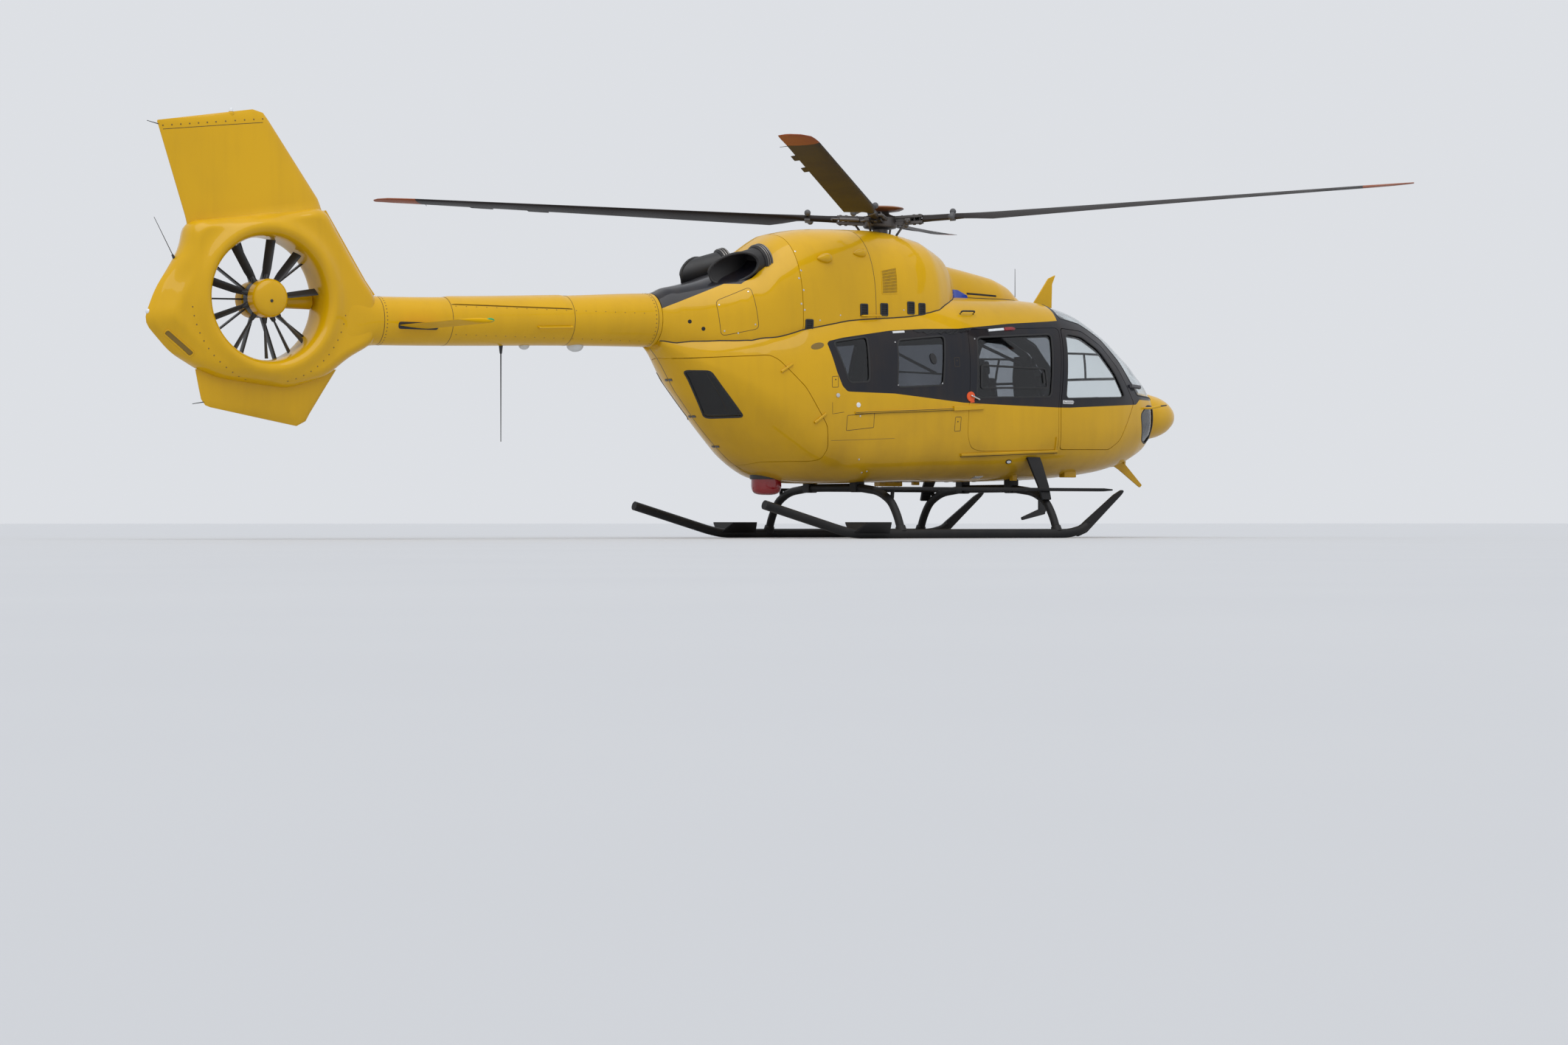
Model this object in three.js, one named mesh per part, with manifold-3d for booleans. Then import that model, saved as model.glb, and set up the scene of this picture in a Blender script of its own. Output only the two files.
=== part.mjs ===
// A light twin-engine rescue helicopter with a four-blade main rotor, a shrouded tail fan and skids.
// Millimetres, +X towards the nose, +Y to port, +Z up, z = 0 under the skids.
// Every size is given from the main rotor's mast; the whole craft is then moved by MAST_X, so that
// the origin lies on the floor below the middle of its bounding box.
import * as THREE from "three";
import { mergeVertices } from "three/addons/utils/BufferGeometryUtils.js";
import Module from "manifold-3d";

const wasm = await Module();
wasm.setup();

// Driving dimensions
const MAST_X = 2142;
const ROTOR_RADIUS = 5500;
const HUB_HEIGHT = 3300; // of the plane in which the blades are bolted on
const CONING = 3.4; // degrees that the blades rise towards their tips
const FIRST_BLADE = -43.25; // degrees from +X, in the photographed position
const CABIN_WALL = 45;
const GLASS = 6;
const GLASS_DEPTH = 12; // how far the panes lie below the outer skin
const TOUCH = 0.4; // gap between pieces that touch
const DOOR_GAP = 7; // gap round a door that moves
const FLOOR_TOP = 870;
const FLOOR_THICK = 40;
const BOOM_WALL = 14;
const FAN = { x: -7120, z: 2240, duct: 575, blade: 557, hub: 180 };
const SKID = { y: 1200, radius: 47, sides: 8 };
const SKID_LEVEL = SKID.radius * Math.cos(Math.PI / SKID.sides);

const PAINT = {
  yellow: { color: 0xf2b50c, roughness: 0.3, metalness: 0.0 },
  band: { color: 0x26282c, roughness: 0.35, metalness: 0.0 },
  black: { color: 0x17181a, roughness: 0.55, metalness: 0.1 },
  blade: { color: 0x2a211d, roughness: 0.6, metalness: 0.0 },
  steel: { color: 0x6f6a66, roughness: 0.4, metalness: 0.9 },
  dark: { color: 0x0d0d0f, roughness: 0.7, metalness: 0.2 },
  glass: { color: 0x2c3236, roughness: 0.08, metalness: 0.0 },
  lamp: { color: 0xb3161a, roughness: 0.2, metalness: 0.0 },
  grey: { color: 0x6d7073, roughness: 0.6, metalness: 0.0 },
  seat: { color: 0x1d2229, roughness: 0.9, metalness: 0.0 },
  floor: { color: 0x55585b, roughness: 0.8, metalness: 0.0 },
};

// Solids

// A closed geometry as a solid that can be joined and cut.
function solid(geometry) {
  const loose = geometry.index ? geometry.toNonIndexed() : geometry.clone();
  loose.deleteAttribute("normal");
  loose.deleteAttribute("uv");
  const merged = mergeVertices(loose, 1e-3);
  const made = (triVerts) =>
    new wasm.Manifold(
      new wasm.Mesh({
        numProp: 3,
        vertProperties: merged.attributes.position.array,
        triVerts,
      }),
    );
  const faces = new Uint32Array(merged.index.array);
  const body = made(faces);
  if (body.volume() > 0) {
    return body;
  }
  return made(faces.reverse());
}

// A solid as a geometry for a mesh.
function geometryOf(body) {
  const mesh = body.getMesh();
  const geometry = new THREE.BufferGeometry();
  geometry.setAttribute("position", new THREE.BufferAttribute(mesh.vertProperties, mesh.numProp));
  geometry.setIndex(new THREE.BufferAttribute(mesh.triVerts, 1));
  const faceted = geometry.toNonIndexed();
  faceted.computeVertexNormals();
  return faceted;
}

const join = (bodies) => bodies.reduce((whole, body) => whole.add(body));
const cut = (body, tools) => tools.reduce((rest, tool) => rest.subtract(tool), body);

// A skin over rings of equally many points, closed by a fan at each end.
function loft(rings) {
  const sides = rings[0].length;
  const middle = (ring) =>
    ring.reduce((sum, p) => sum.add(p), new THREE.Vector3()).divideScalar(sides);
  const points = [...rings.flat(), middle(rings[0]), middle(rings.at(-1))];
  const first = rings.length * sides;
  const last = first + 1;
  const end = first - sides;
  const faces = [];
  for (let i = 0; i < sides; i += 1) {
    const j = (i + 1) % sides;
    for (let r = 0; r < end; r += sides) {
      faces.push(r + i, r + j, r + sides + j, r + i, r + sides + j, r + sides + i);
    }
    faces.push(first, j, i, last, end + i, end + j);
  }
  const geometry = new THREE.BufferGeometry().setFromPoints(points);
  geometry.setIndex(faces);
  return solid(geometry);
}

function block(low, high) {
  const size = new THREE.Vector3(...high).sub(new THREE.Vector3(...low));
  const box = new THREE.BoxGeometry(size.x, size.y, size.z);
  box.translate(low[0] + size.x / 2, low[1] + size.y / 2, low[2] + size.z / 2);
  return solid(box);
}

// A straight round bar or cone between two points.
function rod(from, to, radius, endRadius = radius, sides = 12) {
  const a = new THREE.Vector3(...from);
  const b = new THREE.Vector3(...to);
  const way = b.clone().sub(a);
  const bar = new THREE.CylinderGeometry(endRadius, radius, way.length(), sides);
  const turn = new THREE.Quaternion().setFromUnitVectors(
    new THREE.Vector3(0, 1, 0),
    way.clone().normalize(),
  );
  bar.applyQuaternion(turn);
  const mid = a.add(b).divideScalar(2);
  bar.translate(mid.x, mid.y, mid.z);
  return solid(bar);
}

// A tube through points that lie in one plane, mitred at its bends.
function tube(path, radius, planeNormal, sides = 8) {
  const points = path.map((p) => new THREE.Vector3(...p));
  const normal = new THREE.Vector3(...planeNormal);
  const rings = points.map((point, i) => {
    const into = point.clone().sub(points[Math.max(i - 1, 0)]).normalize();
    const away = points[Math.min(i + 1, points.length - 1)].clone().sub(point).normalize();
    const along = into.clone().add(away).normalize();
    const across = new THREE.Vector3().crossVectors(along, normal).normalize();
    const mitre = radius / along.dot(i ? into : away);
    return Array.from({ length: sides }, (_, k) => {
      const a = ((k + 0.5) * 2 * Math.PI) / sides;
      return point
        .clone()
        .addScaledVector(normal, radius * Math.cos(a))
        .addScaledVector(across, mitre * Math.sin(a));
    });
  });
  return loft(rings);
}

// A turned solid: profile of [radius, height] pairs about an axis through the point at.
function turned(profile, at, axis = "z", segments = 24) {
  const lathe = new THREE.LatheGeometry(
    profile.map(([r, h]) => new THREE.Vector2(r, h)),
    segments,
  );
  if (axis === "z") {
    lathe.rotateX(Math.PI / 2);
  }
  if (axis === "x") {
    lathe.rotateZ(-Math.PI / 2);
  }
  lathe.translate(...at);
  return solid(lathe);
}

// An outline of [x, z] points with its corners rounded.
function outline(points, radius) {
  const shape = new THREE.Shape();
  const corners = points.map(([x, z]) => new THREE.Vector2(x, z));
  corners.forEach((corner, i) => {
    const before = corners.at(i - 1);
    const after = corners[(i + 1) % corners.length];
    const start = corner.clone().add(before.clone().sub(corner).setLength(radius));
    const stop = corner.clone().add(after.clone().sub(corner).setLength(radius));
    if (i === 0) {
      shape.moveTo(start.x, start.y);
    } else {
      shape.lineTo(start.x, start.y);
    }
    shape.quadraticCurveTo(corner.x, corner.y, stop.x, stop.y);
  });
  shape.closePath();
  return shape;
}

// The same [x, z] points moved inwards by a distance, or outwards by a negative one.
function inset(points, distance) {
  const area = points.reduce((sum, [x, z], i) => {
    const [nx, nz] = points[(i + 1) % points.length];
    return sum + x * nz - nx * z;
  }, 0);
  const turn = Math.sign(area);
  return points.map(([x, z], i) => {
    const before = new THREE.Vector2(...points.at(i - 1));
    const after = new THREE.Vector2(...points[(i + 1) % points.length]);
    const here = new THREE.Vector2(x, z);
    const into = here.clone().sub(before).normalize();
    const away = after.sub(here).normalize();
    const inward = new THREE.Vector2(-into.y - away.y, into.x + away.x).multiplyScalar(turn);
    inward.normalize();
    const miter = distance / Math.max(0.4, inward.dot(new THREE.Vector2(-into.y, into.x)) * turn);
    return [x + inward.x * miter, z + inward.y * miter];
  });
}

// An outline in the side view, carried from y = near to y = far.
function sidePrism(points, near, far, radius = 30, segments = 2) {
  const depth = Math.abs(far - near);
  const geometry = new THREE.ExtrudeGeometry(outline(points, radius), {
    depth,
    bevelEnabled: false,
    curveSegments: segments,
  });
  geometry.rotateX(Math.PI / 2);
  geometry.translate(0, Math.max(near, far), 0);
  return solid(geometry);
}

// Nodes

const craft = new THREE.Group();
craft.position.x = MAST_X;

function piece(name, body, finish) {
  const mesh = new THREE.Mesh(geometryOf(body), new THREE.MeshStandardMaterial(PAINT[finish]));
  mesh.name = name;
  craft.add(mesh);
  return mesh;
}

// Cabin: a pod whose cross sections are round-cornered, given at stations from nose to tail.
// Columns: x, half width, height of the widest line, lowest point, highest point,
// and how square the upper and the lower corners are (2 is an ellipse).
const POD = [
  [3540, 190, 1330, 1120, 1530, 2.0, 2.0],
  [3460, 330, 1320, 1010, 1640, 2.1, 2.1],
  [3300, 480, 1290, 880, 1790, 2.2, 2.3],
  [3050, 610, 1260, 780, 2000, 2.3, 2.5],
  [2700, 725, 1240, 700, 2240, 2.5, 2.7],
  [2300, 800, 1220, 650, 2430, 2.8, 2.9],
  [1850, 845, 1200, 615, 2520, 3.1, 3.0],
  [1100, 865, 1200, 592, 2540, 3.2, 3.7],
  [100, 865, 1200, 585, 2530, 3.2, 4.2],
  [-900, 865, 1220, 562, 2450, 3.1, 4.5],
  [-1450, 835, 1300, 600, 2330, 2.9, 2.7],
  [-1850, 720, 1470, 755, 2230, 2.8, 1.8],
  [-2200, 570, 1640, 1060, 2150, 2.7, 1.55],
  [-2550, 380, 1790, 1470, 2080, 2.5, 1.6],
  [-2840, 180, 1960, 1885, 2030, 2.2, 1.8],
];
const POD_SIDES = 24;

// The pod's section values at any x, on a smooth curve through the stations.
function podAt(x) {
  const last = POD.length - 1;
  const found = POD.findIndex((row) => row[0] <= x);
  const after = found < 1 ? (found === 0 ? 1 : last) : found;
  const before = after - 1;
  const t = (POD[before][0] - x) / (POD[before][0] - POD[after][0]);
  return POD[0].map((_, column) => {
    const p = [before - 1, before, after, after + 1].map(
      (i) => POD[Math.min(Math.max(i, 0), last)][column],
    );
    if (column === 0) {
      return x;
    }
    return (
      0.5 *
      (2 * p[1] +
        (p[2] - p[0]) * t +
        (2 * p[0] - 5 * p[1] + 4 * p[2] - p[3]) * t * t +
        (3 * p[1] - p[0] - 3 * p[2] + p[3]) * t * t * t)
    );
  });
}

// One round-cornered ring across the craft.
function ring([x, halfWidth, wide, low, high, upper, lower], depth = 0, sides = POD_SIDES) {
  return Array.from({ length: sides }, (_, i) => {
    const a = (2 * Math.PI * i) / sides;
    const c = Math.cos(a);
    const s = Math.sin(a);
    const power = 2 / (s > 0 ? upper : lower);
    const reach = (s > 0 ? high - wide : wide - low) - depth;
    return new THREE.Vector3(
      x,
      (halfWidth - depth) * Math.sign(c) * Math.abs(c) ** power,
      wide + reach * Math.sign(s) * Math.abs(s) ** power,
    );
  });
}

const POD_STATIONS = [
  3540, 3460, 3300, 3050, 2750, 2450, 2150, 1850, 1400, 100, -900, -1300, -1600, -1850, -2100,
  -2350, -2600, -2840,
];

// The pod's outer form moved inwards by a depth; depth 0 is the outer skin.
function pod(depth) {
  const ends = [POD_STATIONS[0] - depth, POD_STATIONS.at(-1) + depth];
  const inner = POD_STATIONS.filter((x) => x < ends[0] - 1 && x > ends[1] + 1);
  return loft([ends[0], ...inner, ends[1]].map((x) => ring(podAt(x), depth)));
}

const podSkin = pod(0);
const podInside = pod(CABIN_WALL);
const podWall = podSkin.subtract(podInside);
const paneLayer = pod(GLASS_DEPTH).subtract(pod(GLASS_DEPTH + GLASS));

// Side outlines, as [x, z] points of the starboard side; the port side mirrors them.
const COCKPIT_DOOR = [
  [1737, 925],
  [1737, 1400],
  [1847, 2222],
  [2180, 2200],
  [2460, 2050],
  [2680, 1815],
  [2910, 1450],
  [2650, 1030],
  [2500, 935],
];
const COCKPIT_PANE = [
  [1810, 1465],
  [1895, 2165],
  [2140, 2145],
  [2400, 2000],
  [2610, 1760],
  [2750, 1500],
];
const SLIDING_DOOR = [
  [486, 1065],
  [532, 927],
  [670, 895],
  [1712, 925],
  [1712, 1400],
  [1820, 2222],
  [560, 2165],
];
const SLIDING_PANE = [
  [605, 1450],
  [1610, 1480],
  [1690, 2150],
  [665, 2085],
];
const MIDDLE_PANE = [
  [-410, 1535],
  [180, 1570],
  [250, 2090],
  [-365, 2025],
];
const REAR_PANE = [
  [-1005, 1570],
  [-755, 1585],
  [-735, 2050],
  [-1150, 1985],
];
const CLAMSHELL = [
  [-1860, 1838],
  [-1775, 1795],
  [-1510, 1517],
  [-1272, 1135],
  [-1250, 900],
  [-1295, 790],
  [-1390, 772],
  [-1740, 768],
  [-1850, 720],
  [-1900, 400],
  [-3000, 400],
  [-3000, 1797],
  [-2640, 1797],
];
const CLAMSHELL_PANE = [
  [-2610, 1672],
  [-2410, 1668],
  [-2290, 1515],
  [-2040, 1215],
  [-2290, 1205],
];
const WINDSCREEN = [
  [1900, 2700],
  [1900, 2330],
  [2200, 2280],
  [2510, 2120],
  [2745, 1880],
  [2990, 1530],
  [3700, 1500],
  [3700, 2700],
];
const CHIN_PANE = [
  [3040, 1330],
  [3200, 1430],
  [3390, 1420],
  [3400, 1180],
  [3250, 1010],
  [3090, 1050],
];
const SIDES = [
  ["left", 1],
  ["right", -1],
];
const FAR = 1100; // past the widest point of the cabin
const POST = 28; // half width of the windscreen's middle post
const CHIN_INNER = 210;
const CENTRE_GAP = 5; // half the gap between the two rear doors

// Strips that stand proud of the cabin's sides: the sliding door's rail, the bar over the rail's
// front end, which is partly on the door, and the ledge under the door.
const PROUD = [
  { height: 14, points: [[-944, 1258], [310, 1320], [310, 1342], [-944, 1280]] },
  { height: 24, points: [[300, 1308], [690, 1330], [690, 1378], [300, 1358]] },
  { height: 26, points: [[450, 838], [1722, 882], [1722, 906], [450, 868]] },
];
const strips = PROUD.map(({ height, points }) =>
  pod(-height).intersect(sidePrism(points, -FAR, FAR, 4, 1)).subtract(pod(CABIN_WALL / 2)),
);
const dressedWall = join([podWall, ...strips]);

const shellCuts = [];
for (const [side, way] of SIDES) {
  const holes = [
    ["cockpit_door", COCKPIT_DOOR, 0.35, 40],
    ["sliding_door", SLIDING_DOOR, 0.35, 60],
  ];
  for (const [name, points, near, radius] of holes) {
    shellCuts.push(sidePrism(points, way * near * FAR, way * FAR, radius));
    const gap = name === "cockpit_door" ? DOOR_GAP : 4;
    const leaf = dressedWall.intersect(
      sidePrism(inset(points, gap), way * near * FAR, way * FAR, radius),
    );
    const pane = name === "cockpit_door" ? COCKPIT_PANE : SLIDING_PANE;
    piece(`${name}_${side}`, leaf.subtract(sidePrism(pane, way * 300, way * FAR, 60)), "yellow");
    const glass = paneLayer.intersect(
      sidePrism(inset(pane, TOUCH), way * 300, way * FAR, 60),
    );
    piece(`${name}_glass_${side}`, glass, "glass");
  }

  shellCuts.push(sidePrism(CLAMSHELL, way * CENTRE_GAP, way * FAR, 40));
  const clam = podWall.intersect(
    sidePrism(inset(CLAMSHELL, DOOR_GAP), way * CENTRE_GAP, way * FAR, 40),
  );
  piece(
    `clamshell_door_${side}`,
    clam.subtract(sidePrism(CLAMSHELL_PANE, way * 150, way * FAR, 40)),
    "yellow",
  );
  const rearGlass = paneLayer.intersect(
    sidePrism(inset(CLAMSHELL_PANE, TOUCH), way * 150, way * FAR, 40),
  );
  piece(`clamshell_glass_${side}`, rearGlass, "glass");

  const panes = [
    ["middle_window", MIDDLE_PANE, 300, 60],
    ["rear_window", REAR_PANE, 300, 50],
    ["windscreen", WINDSCREEN, POST, 40],
    ["chin_window", CHIN_PANE, CHIN_INNER, 50],
  ];
  for (const [name, points, near, radius] of panes) {
    shellCuts.push(sidePrism(points, way * near, way * FAR, radius));
    const glass = paneLayer.intersect(
      sidePrism(inset(points, TOUCH), way * (near + TOUCH), way * FAR, radius),
    );
    piece(`${name}_${side}`, glass, "glass");
  }
}
piece("cabin_shell", cut(dressedWall, shellCuts), "yellow");

// Cabin floor: a flat deck over the tanks, from the pedals to the rear doors.
const deckSpace = pod(CABIN_WALL + TOUCH);
piece(
  "cabin_floor",
  deckSpace.intersect(block([-1280, -FAR, FLOOR_TOP - FLOOR_THICK], [2950, FAR, FLOOR_TOP])),
  "floor",
);

// Roof and engine cowlings: hollow fairings that stand on the cabin roof, with the same columns
// as the cabin's stations. They are cut away where the cabin is.
const ENGINE_COWL = [
  [-2858, 262, 2180, 1912, 2448, 2.1, 2.1],
  [-2700, 320, 2150, 1850, 2510, 2.3, 2.3],
  [-2400, 430, 2120, 1800, 2580, 2.6, 2.5],
  [-2050, 560, 2110, 1750, 2690, 2.7, 2.8],
  [-1900, 600, 2120, 1750, 2750, 2.7, 2.8],
  [-1740, 645, 2130, 1800, 2900, 2.6, 2.8],
  [-1600, 665, 2150, 1850, 3010, 2.5, 2.8],
  [-1450, 680, 2180, 1950, 3100, 2.5, 2.8],
];
const ROTOR_COWL = [
  [-1449, 680, 2180, 1950, 3100, 2.5, 2.8],
  [-1150, 688, 2210, 1980, 3160, 2.5, 2.8],
  [-800, 690, 2250, 2000, 3185, 2.5, 2.8],
  [-100, 685, 2280, 2050, 3190, 2.5, 2.8],
  [300, 630, 2290, 2050, 3120, 2.5, 2.8],
  [500, 530, 2330, 2100, 3040, 2.4, 2.6],
  [620, 440, 2380, 2150, 2980, 2.4, 2.4],
  [710, 335, 2420, 2150, 2890, 2.3, 2.2],
  [1050, 320, 2440, 2200, 2830, 2.2, 2.2],
  [1400, 280, 2430, 2200, 2765, 2.2, 2.2],
  [1620, 200, 2420, 2250, 2685, 2.1, 2.1],
  [1800, 120, 2400, 2300, 2560, 2.0, 2.0],
];
const COWL_SIDES = 24;
const COWL_WALL = 14;
const MAST_OPENING = 262;
const EXHAUST = {
  y: 330,
  z: 2810,
  radius: 140,
  wall: 12,
  front: -1740,
  rear: -2290,
  out: 0.125,
  down: 0.286,
};
const EXHAUST_MOUTH = { x: -1840, y: 495, turn: 26 }; // where its slanting cut starts, and its angle

// The skin of a fairing, or the space inside it, which ends the given distances past its ends.
function fairing(rows, depth = 0, pastRear = 0, pastFront = 0) {
  const stations = rows.map((row) => [...row]);
  stations[0][0] -= pastRear;
  stations.at(-1)[0] += pastFront;
  return loft(stations.map((row) => ring(row, depth, COWL_SIDES)));
}

const roofSpace = pod(-TOUCH);
// A point on an exhaust pipe's axis, which leans outwards and down towards the rear.
const exhaustPoint = (way, x) => {
  const back = EXHAUST.front - x;
  return [x, way * (EXHAUST.y + EXHAUST.out * back), EXHAUST.z - EXHAUST.down * back];
};
const exhaustWay = (way, radius, front, rear) =>
  rod(exhaustPoint(way, front), exhaustPoint(way, rear), radius, radius, 16);
const exhaustHoles = SIDES.map(([, way]) =>
  exhaustWay(way, EXHAUST.radius + 6, EXHAUST.front + 40, EXHAUST.rear - 20),
);
const engineCowl = cut(fairing(ENGINE_COWL), [
  fairing(ENGINE_COWL, COWL_WALL, -COWL_WALL, 1),
  roofSpace,
]);
piece("engine_cowling", cut(engineCowl, exhaustHoles), "yellow");
const mastHole = turned(
  [
    [0, 2900],
    [MAST_OPENING, 2900],
    [MAST_OPENING, 3400],
    [0, 3400],
  ],
  [0, 0, 0],
);
// Air inlets low on the sides, as [x, z] of their middles, and the grille above them
const INLETS = [
  [-1379, 2143],
  [-705, 2322],
  [-453, 2336],
  [-108, 2365],
  [44, 2356],
];
const INLET = { width: 66, height: 100, rim: 16, proud: 8 };
const GRILLE = { x: -365, z: 2630, width: 195, height: 255 };
const around = (x, z, width, height) => [
  [x - width / 2, z - height / 2],
  [x + width / 2, z - height / 2],
  [x + width / 2, z + height / 2],
  [x - width / 2, z + height / 2],
];
const frames = [];
const inletHoles = [];
for (const [x, z] of INLETS) {
  const outer = around(x, z, INLET.width + 2 * INLET.rim, INLET.height + 2 * INLET.rim);
  frames.push(fairing(ROTOR_COWL, -INLET.proud).intersect(sidePrism(outer, -FAR, FAR, 12, 1)));
  inletHoles.push(sidePrism(around(x, z, INLET.width, INLET.height), -FAR, FAR, 8, 1));
}
const grille = around(GRILLE.x, GRILLE.z, GRILLE.width, GRILLE.height);
frames.push(fairing(ROTOR_COWL, -INLET.proud).intersect(sidePrism(grille, -FAR, FAR, 8, 1)));
// Teardrop bumps over the engines' front mounts, as [x, y, z, length]
const BUMPS = [
  [-1124, 580, 2836, 88],
  [-669, 560, 2909, 80],
];
const bumps = SIDES.flatMap(([, way]) =>
  BUMPS.map(([x, y, z, long]) => {
    const bump = new THREE.SphereGeometry(1, 8, 6);
    bump.scale(long, 55, 48);
    bump.translate(x, way * y, z);
    return solid(bump);
  }),
);
const WHIP = { x: 1794, foot: 2500, top: 2890, radius: 6 };
const whip = rod([WHIP.x, 0, WHIP.foot], [WHIP.x, 0, WHIP.top], WHIP.radius, WHIP.radius, 6);
const rotorCowl = cut(join([fairing(ROTOR_COWL), ...frames, ...bumps, whip]), [
  fairing(ROTOR_COWL, COWL_WALL, 1, -COWL_WALL),
  roofSpace,
  mastHole,
  ...inletHoles,
]);
piece("rotor_cowling", rotorCowl, "yellow");

// Engines and main gearbox: plain blocks at their real places under the cowlings.
const GEARBOX = { low: [-300, -300, 2600], high: [300, 300, 2990] };
const ENGINE = { low: [-1640, 60, 2500], high: [-700, 400, 2840] };
piece("main_gearbox", block(GEARBOX.low, GEARBOX.high), "steel");
for (const [side, way] of SIDES) {
  const span = [way * ENGINE.low[1], way * ENGINE.high[1]].sort((a, b) => a - b);
  piece(
    `engine_${side}`,
    block([ENGINE.low[0], span[0], ENGINE.low[2]], [ENGINE.high[0], span[1], ENGINE.high[2]]),
    "steel",
  );
  const pipe = exhaustWay(way, EXHAUST.radius, EXHAUST.front, EXHAUST.rear);
  const bore = exhaustWay(
    way,
    EXHAUST.radius - EXHAUST.wall,
    EXHAUST.front - 60,
    EXHAUST.rear - 60,
  );
  // The mouth is cut slantwise, so that it opens outwards as well as back
  const beyond = block([-900, 0, -400], [0, 500, 400])
    .rotate([0, 0, EXHAUST_MOUTH.turn])
    .translate([EXHAUST_MOUTH.x, EXHAUST_MOUTH.y, EXHAUST.z]);
  const mouth = way > 0 ? beyond : beyond.mirror([0, 1, 0]);
  piece(`exhaust_${side}`, cut(pipe, [bore, mouth]), "dark");
}

// Tail boom: a hollow tapered tube. Columns: x, height of its axis, half width, half height.
const BOOM = [
  [-2860, 2180, 262, 268],
  [-3900, 2142, 240, 246],
  [-5050, 2098, 232, 236],
  [-5950, 2075, 190, 232],
];
const BOOM_SIDES = 20;

function boom(depth, overrun) {
  return loft(
    BOOM.map(([x, z, halfWidth, halfHeight], i) => {
      const moved = i === 0 ? x + overrun : i === BOOM.length - 1 ? x - overrun : x;
      return Array.from({ length: BOOM_SIDES }, (_, k) => {
        const a = (2 * Math.PI * k) / BOOM_SIDES;
        return new THREE.Vector3(
          moved,
          (halfWidth - depth) * Math.cos(a),
          z + (halfHeight - depth) * Math.sin(a),
        );
      });
    }),
  );
}

// Stabilizer: two flat wings through the boom's sides, leading edge forward.
const STABILIZER = { lead: -5380, trail: -5770, z: 2030, half: 24, root: 224, tip: 1330 };
const stabilizerSpace = SIDES.map(([, way]) =>
  block(
    [STABILIZER.trail - 5, Math.min(way * 120, way * 300), STABILIZER.z - STABILIZER.half - 1],
    [STABILIZER.lead + 5, Math.max(way * 120, way * 300), STABILIZER.z + STABILIZER.half + 1],
  ),
);
// Raised cover over the drive shaft along the top, two antenna domes and a whip underneath
const SHAFT_COVER = { from: -5200, to: -3880, z: 2250, proud: 10 };
const shaftCover = boom(-SHAFT_COVER.proud, 0).intersect(
  block([SHAFT_COVER.from, -FAR, SHAFT_COVER.z], [SHAFT_COVER.to, FAR, 2 * SHAFT_COVER.z]),
);
const DOMES = [
  { x: -3720, z: 1862, radius: 62, top: 1930 },
  { x: -4300, z: 1868, radius: 40, top: 1920 },
];
const boomDomes = DOMES.map(({ x, z, radius, top }) =>
  turned(
    [
      [0, z - 22],
      [radius * 0.7, z - 14],
      [radius, z + 4],
      [radius, top],
      [0, top],
    ],
    [x, 0, 0],
    "z",
    12,
  ),
);
const BOOM_WHIP = { x: -4560, foot: 1900, low: 940, radius: 8 };
const boomWhip = join([
  rod([BOOM_WHIP.x, 0, BOOM_WHIP.foot], [BOOM_WHIP.x, 0, BOOM_WHIP.low], BOOM_WHIP.radius, 5, 6),
  rod([BOOM_WHIP.x, 0, BOOM_WHIP.foot], [BOOM_WHIP.x, 0, BOOM_WHIP.foot - 70], 24, 14, 8),
]);
const boomBody = join([boom(0, 0), shaftCover, ...boomDomes, boomWhip]);
piece("tail_boom", cut(boomBody, [boom(BOOM_WALL, 20), ...stabilizerSpace]), "yellow");
for (const [side, way] of SIDES) {
  // Columns: y, leading edge, trailing edge, half thickness
  const spans = [
    [130, STABILIZER.lead, STABILIZER.trail, STABILIZER.half],
    [STABILIZER.tip - 40, STABILIZER.lead, STABILIZER.trail, STABILIZER.half],
    [STABILIZER.tip, STABILIZER.lead - 25, STABILIZER.trail + 10, 10],
  ];
  const wing = loft(
    spans.map(([y, lead, trail, half]) => {
      const chord = lead - trail;
      const section = [
        [lead, 0],
        [lead - 0.06 * chord, half * 0.8],
        [lead - 0.3 * chord, half],
        [trail, half * 0.25],
        [trail, -half * 0.25],
        [lead - 0.3 * chord, -half],
        [lead - 0.06 * chord, -half * 0.8],
      ];
      return section.map(([x, z]) => new THREE.Vector3(x, way * y, STABILIZER.z + z));
    }),
  );
  piece(`stabilizer_${side}`, wing, "yellow");
}

// Tail shroud: a thick rounded plate round the fan's duct, with the fin above and a keel fin below.
const SHROUD = [
  [-5952, 1860],
  [-6250, 1700],
  [-6480, 1520],
  [-6880, 1400],
  [-7560, 1485],
  [-7780, 1570],
  [-8045, 1715],
  [-8325, 1995],
  [-8190, 2300],
  [-7935, 2690],
  [-7890, 2930],
  [-6515, 3130],
  [-6075, 2440],
  [-5952, 2280],
];
const SHROUD_CORE = 70;
const SHROUD_ROUND = 110;
const LIP = { radius: 770, half: 235 };
const FIN = [
  [-6480, 3060, -7865, 2860, 95],
  [-6535, 3186, -7890, 2966, 72],
  [-7050, 3905, -8158, 3795, 42],
  [-7105, 3972, -8170, 3826, 30],
  [-7210, 4000, -8165, 3838, 12],
];
const KEEL = [
  [-6345, 1600, -7790, 1570, 62],
  [-6480, 1400, -7755, 1400, 52],
  [-6625, 1180, -7731, 1294, 42],
  [-6665, 1110, -7690, 1240, 30],
  [-6760, 1060, -7640, 1222, 12],
];

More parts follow.
